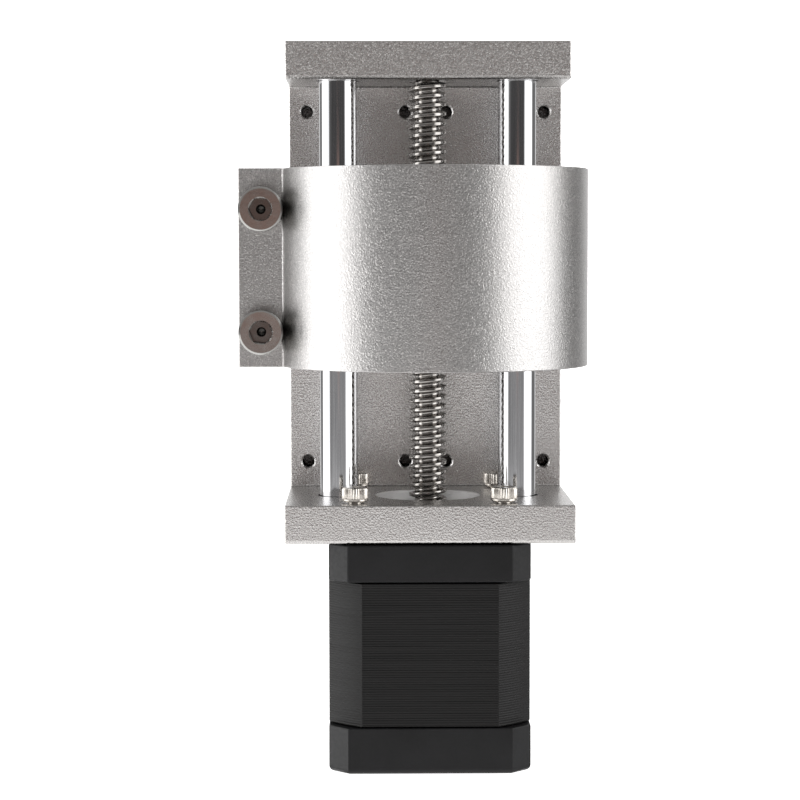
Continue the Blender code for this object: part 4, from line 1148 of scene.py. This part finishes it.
brass = Finish("turned_brass", (0.72, 0.50, 0.20), 0.26, 1.0)
tool_marks = brass.streaks((300.0, 300.0, 5000.0))
brass.dull(tool_marks, 0.20, 0.36)
brass.tint(tool_marks, (0.62, 0.42, 0.16), (0.80, 0.58, 0.26))
brass.bumps(tool_marks, 0.00001, 0.5)
nut_edge = 0.4 * millimetre
nut_play = 0.25 * millimetre
flank_play = 0.12 * millimetre
mouth_depth = 1.0 * millimetre
mouth_rise = 0.3 * millimetre
m4_radius = 2.0 * millimetre
m4_socket = 2.0 * millimetre
m4_spacing = 0.7 * millimetre
nut = turned("brass_nut", both_ends(nut_low.z, nut_high.z, [(nut_radius - nut_edge, 0.0),
                                                            (nut_radius, nut_edge)]), 96)
carve(nut, helical_thread("nut_thread", nut_low.z - pitch / 2, nut_high.z + pitch / 2,
                          screw_radius + nut_play, root_radius + nut_play, crest_half + flank_play,
                          foot_half + flank_play, rolled_edge))
for end, level in ((-1, nut_low.z), (1, nut_high.z)):
    mouth = [(root_radius, level - end * mouth_depth),
             (screw_radius + 2 * nut_play, level + end * mouth_rise),
             (screw_radius + 2 * nut_play, level + end * mouth_depth)]
    carve(nut, turned("mouth", mouth, 56))
nut.data.transform(Matrix.Translation(on_axis))
finished(nut, brass, "carriage", "brass", "lead_nut")

for node, place in zip(nut_grubs, nut_grub_places):
    low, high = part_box(node)
    screw = set_screw(node + "_detail", m4_radius, high.y - low.y, m4_socket, m4_spacing)
    screw.data.transform(towards_back)
    screw.data.transform(Matrix.Translation((axis_x, high.y, place[2])))
    finished(screw, black_steel, "carriage", "black_steel", node)


# The photograph's setting: a white floor and backdrop, soft lights at the left and right, and a
# studio that is dark and a little warm where the camera stands.

bpy.context.scene.view_settings.view_transform = "Standard"
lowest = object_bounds()[0][2]


def sheet_of_paper(name, place, size, turn):
    """A white plane of the setting, with its place in its mesh. The studio below gives its reflection."""
    bpy.ops.mesh.primitive_plane_add(size=1.0)
    sheet = added(name)
    sheet.data.transform(Matrix.Translation(place) @ turn @ Matrix.Diagonal((*size, 1.0, 1.0)))
    paper = Finish(name + "_paper", (0.9, 0.9, 0.9), 0.9)
    paper.set("Emission Color", (1.0, 1.0, 1.0, 1.0))
    paper.set("Emission Strength", 1.0)
    sheet.data.materials.append(paper.material)
    sheet.visible_glossy = False


sheet_of_paper("floor", (0.0, 0.55, lowest - 0.0005), (5.0, 2.1), Matrix.Identity(4))
sheet_of_paper("backdrop", (0.0, 1.6, 0.0), (5.0, 5.0), Matrix.Rotation(math.radians(90), 4, "X"))

world = bpy.data.worlds.new("studio")
bpy.context.scene.world = world
studio = Pattern(world, "Background")
compass = studio.node("ShaderNodeTexCoord", out="Generated")
sideways, depth, rise = studio.parts(compass)
in_front = studio.ranged(depth * -1.0, 0.55, 0.80)
behind = studio.ranged(depth, 0.72, 0.88)
floor_tone = studio.blend(studio.ranged(sideways, -0.2, 0.8), (1.40, 1.385, 1.375), (0.55, 0.545, 0.54))
room = studio.blend(studio.ranged(rise, 0.10, 0.20), (0.20, 0.197, 0.195), (0.42, 0.412, 0.406))
band = studio.ranged(rise, -0.045, 0.015) - studio.ranged(rise, 0.08, 0.20)
room = studio.blend(in_front * band, room, (0.075, 0.072, 0.072))
room = studio.blend(in_front * studio.ranged(rise, 0.0, -0.045), room, (0.33, 0.325, 0.325))
room = studio.blend(studio.ranged(rise, -0.095, -0.15), room, floor_tone)
offside = (sideways - 0.01) * (1 / 0.21)
off_level = (rise + 0.009) * (1 / 0.05)
near_lens = studio.ranged(offside * offside + off_level * off_level, 0.3, 1.0, 1.0, 0.0)
room = studio.blend(near_lens * in_front, room, (0.44, 0.29, 0.25))
room = studio.blend(behind, room, (1.0, 1.0, 1.0))
seen = studio.node("ShaderNodeLightPath", out="Is Camera Ray")
studio.set("Color", studio.blend(seen, room, (1.0, 1.0, 1.0)))
studio.set("Strength", 1.0)


def soft_light(name, azimuth, distance, middle, width, height, radiance):
    """A flat light that faces the part and fades towards its sides. Azimuth 0 is towards the
    viewer, and 90 to the right."""
    light = bpy.data.lights.new(name, "AREA")
    light.shape = "RECTANGLE"
    light.size = width
    light.size_y = height
    light.energy = radiance * math.pi * width * height
    glow = Pattern(light, "Emission")
    across = glow.parts(glow.node("ShaderNodeNewGeometry", out="Parametric"))[0]
    glow.set("Strength", glow.ranged(across, 0.0, 0.25) * glow.ranged(across, 1.0, 0.75))
    lamp = put_in_scene(name, light)
    lamp.visible_camera = False
    turn = math.radians(azimuth)
    away = Vector((math.sin(turn), -math.cos(turn), 0.0))
    lamp.location = Vector((0.0, axis_y, middle)) + away * distance
    lamp.rotation_euler = away.to_track_quat("Z", "Y").to_euler()


soft_light("left_softbox", -85.0, 1.0, 0.15, 1.26, 1.2, 2.45)
soft_light("right_softbox", 71.5, 1.0, 0.38, 1.26, 1.2, 2.6)

image_width = 800
focal_pixels = 2408
camera_place = (-0.012536, -0.539996, 0.010484)
camera_heading = math.radians(-0.738)
camera_tilt = math.radians(90 - 3.807)
camera_roll = math.radians(-0.086)
camera = bpy.data.cameras.new("camera")
camera.sensor_width = 36.0
camera.lens = camera.sensor_width * focal_pixels / image_width
camera.clip_start = 0.01
viewer = put_in_scene("camera", camera)
viewer.matrix_world = (Matrix.Translation(camera_place) @ Matrix.Rotation(camera_heading, 4, "Z")
                       @ Matrix.Rotation(camera_tilt, 4, "X") @ Matrix.Rotation(camera_roll, 4, "Z"))
bpy.context.scene.camera = viewer
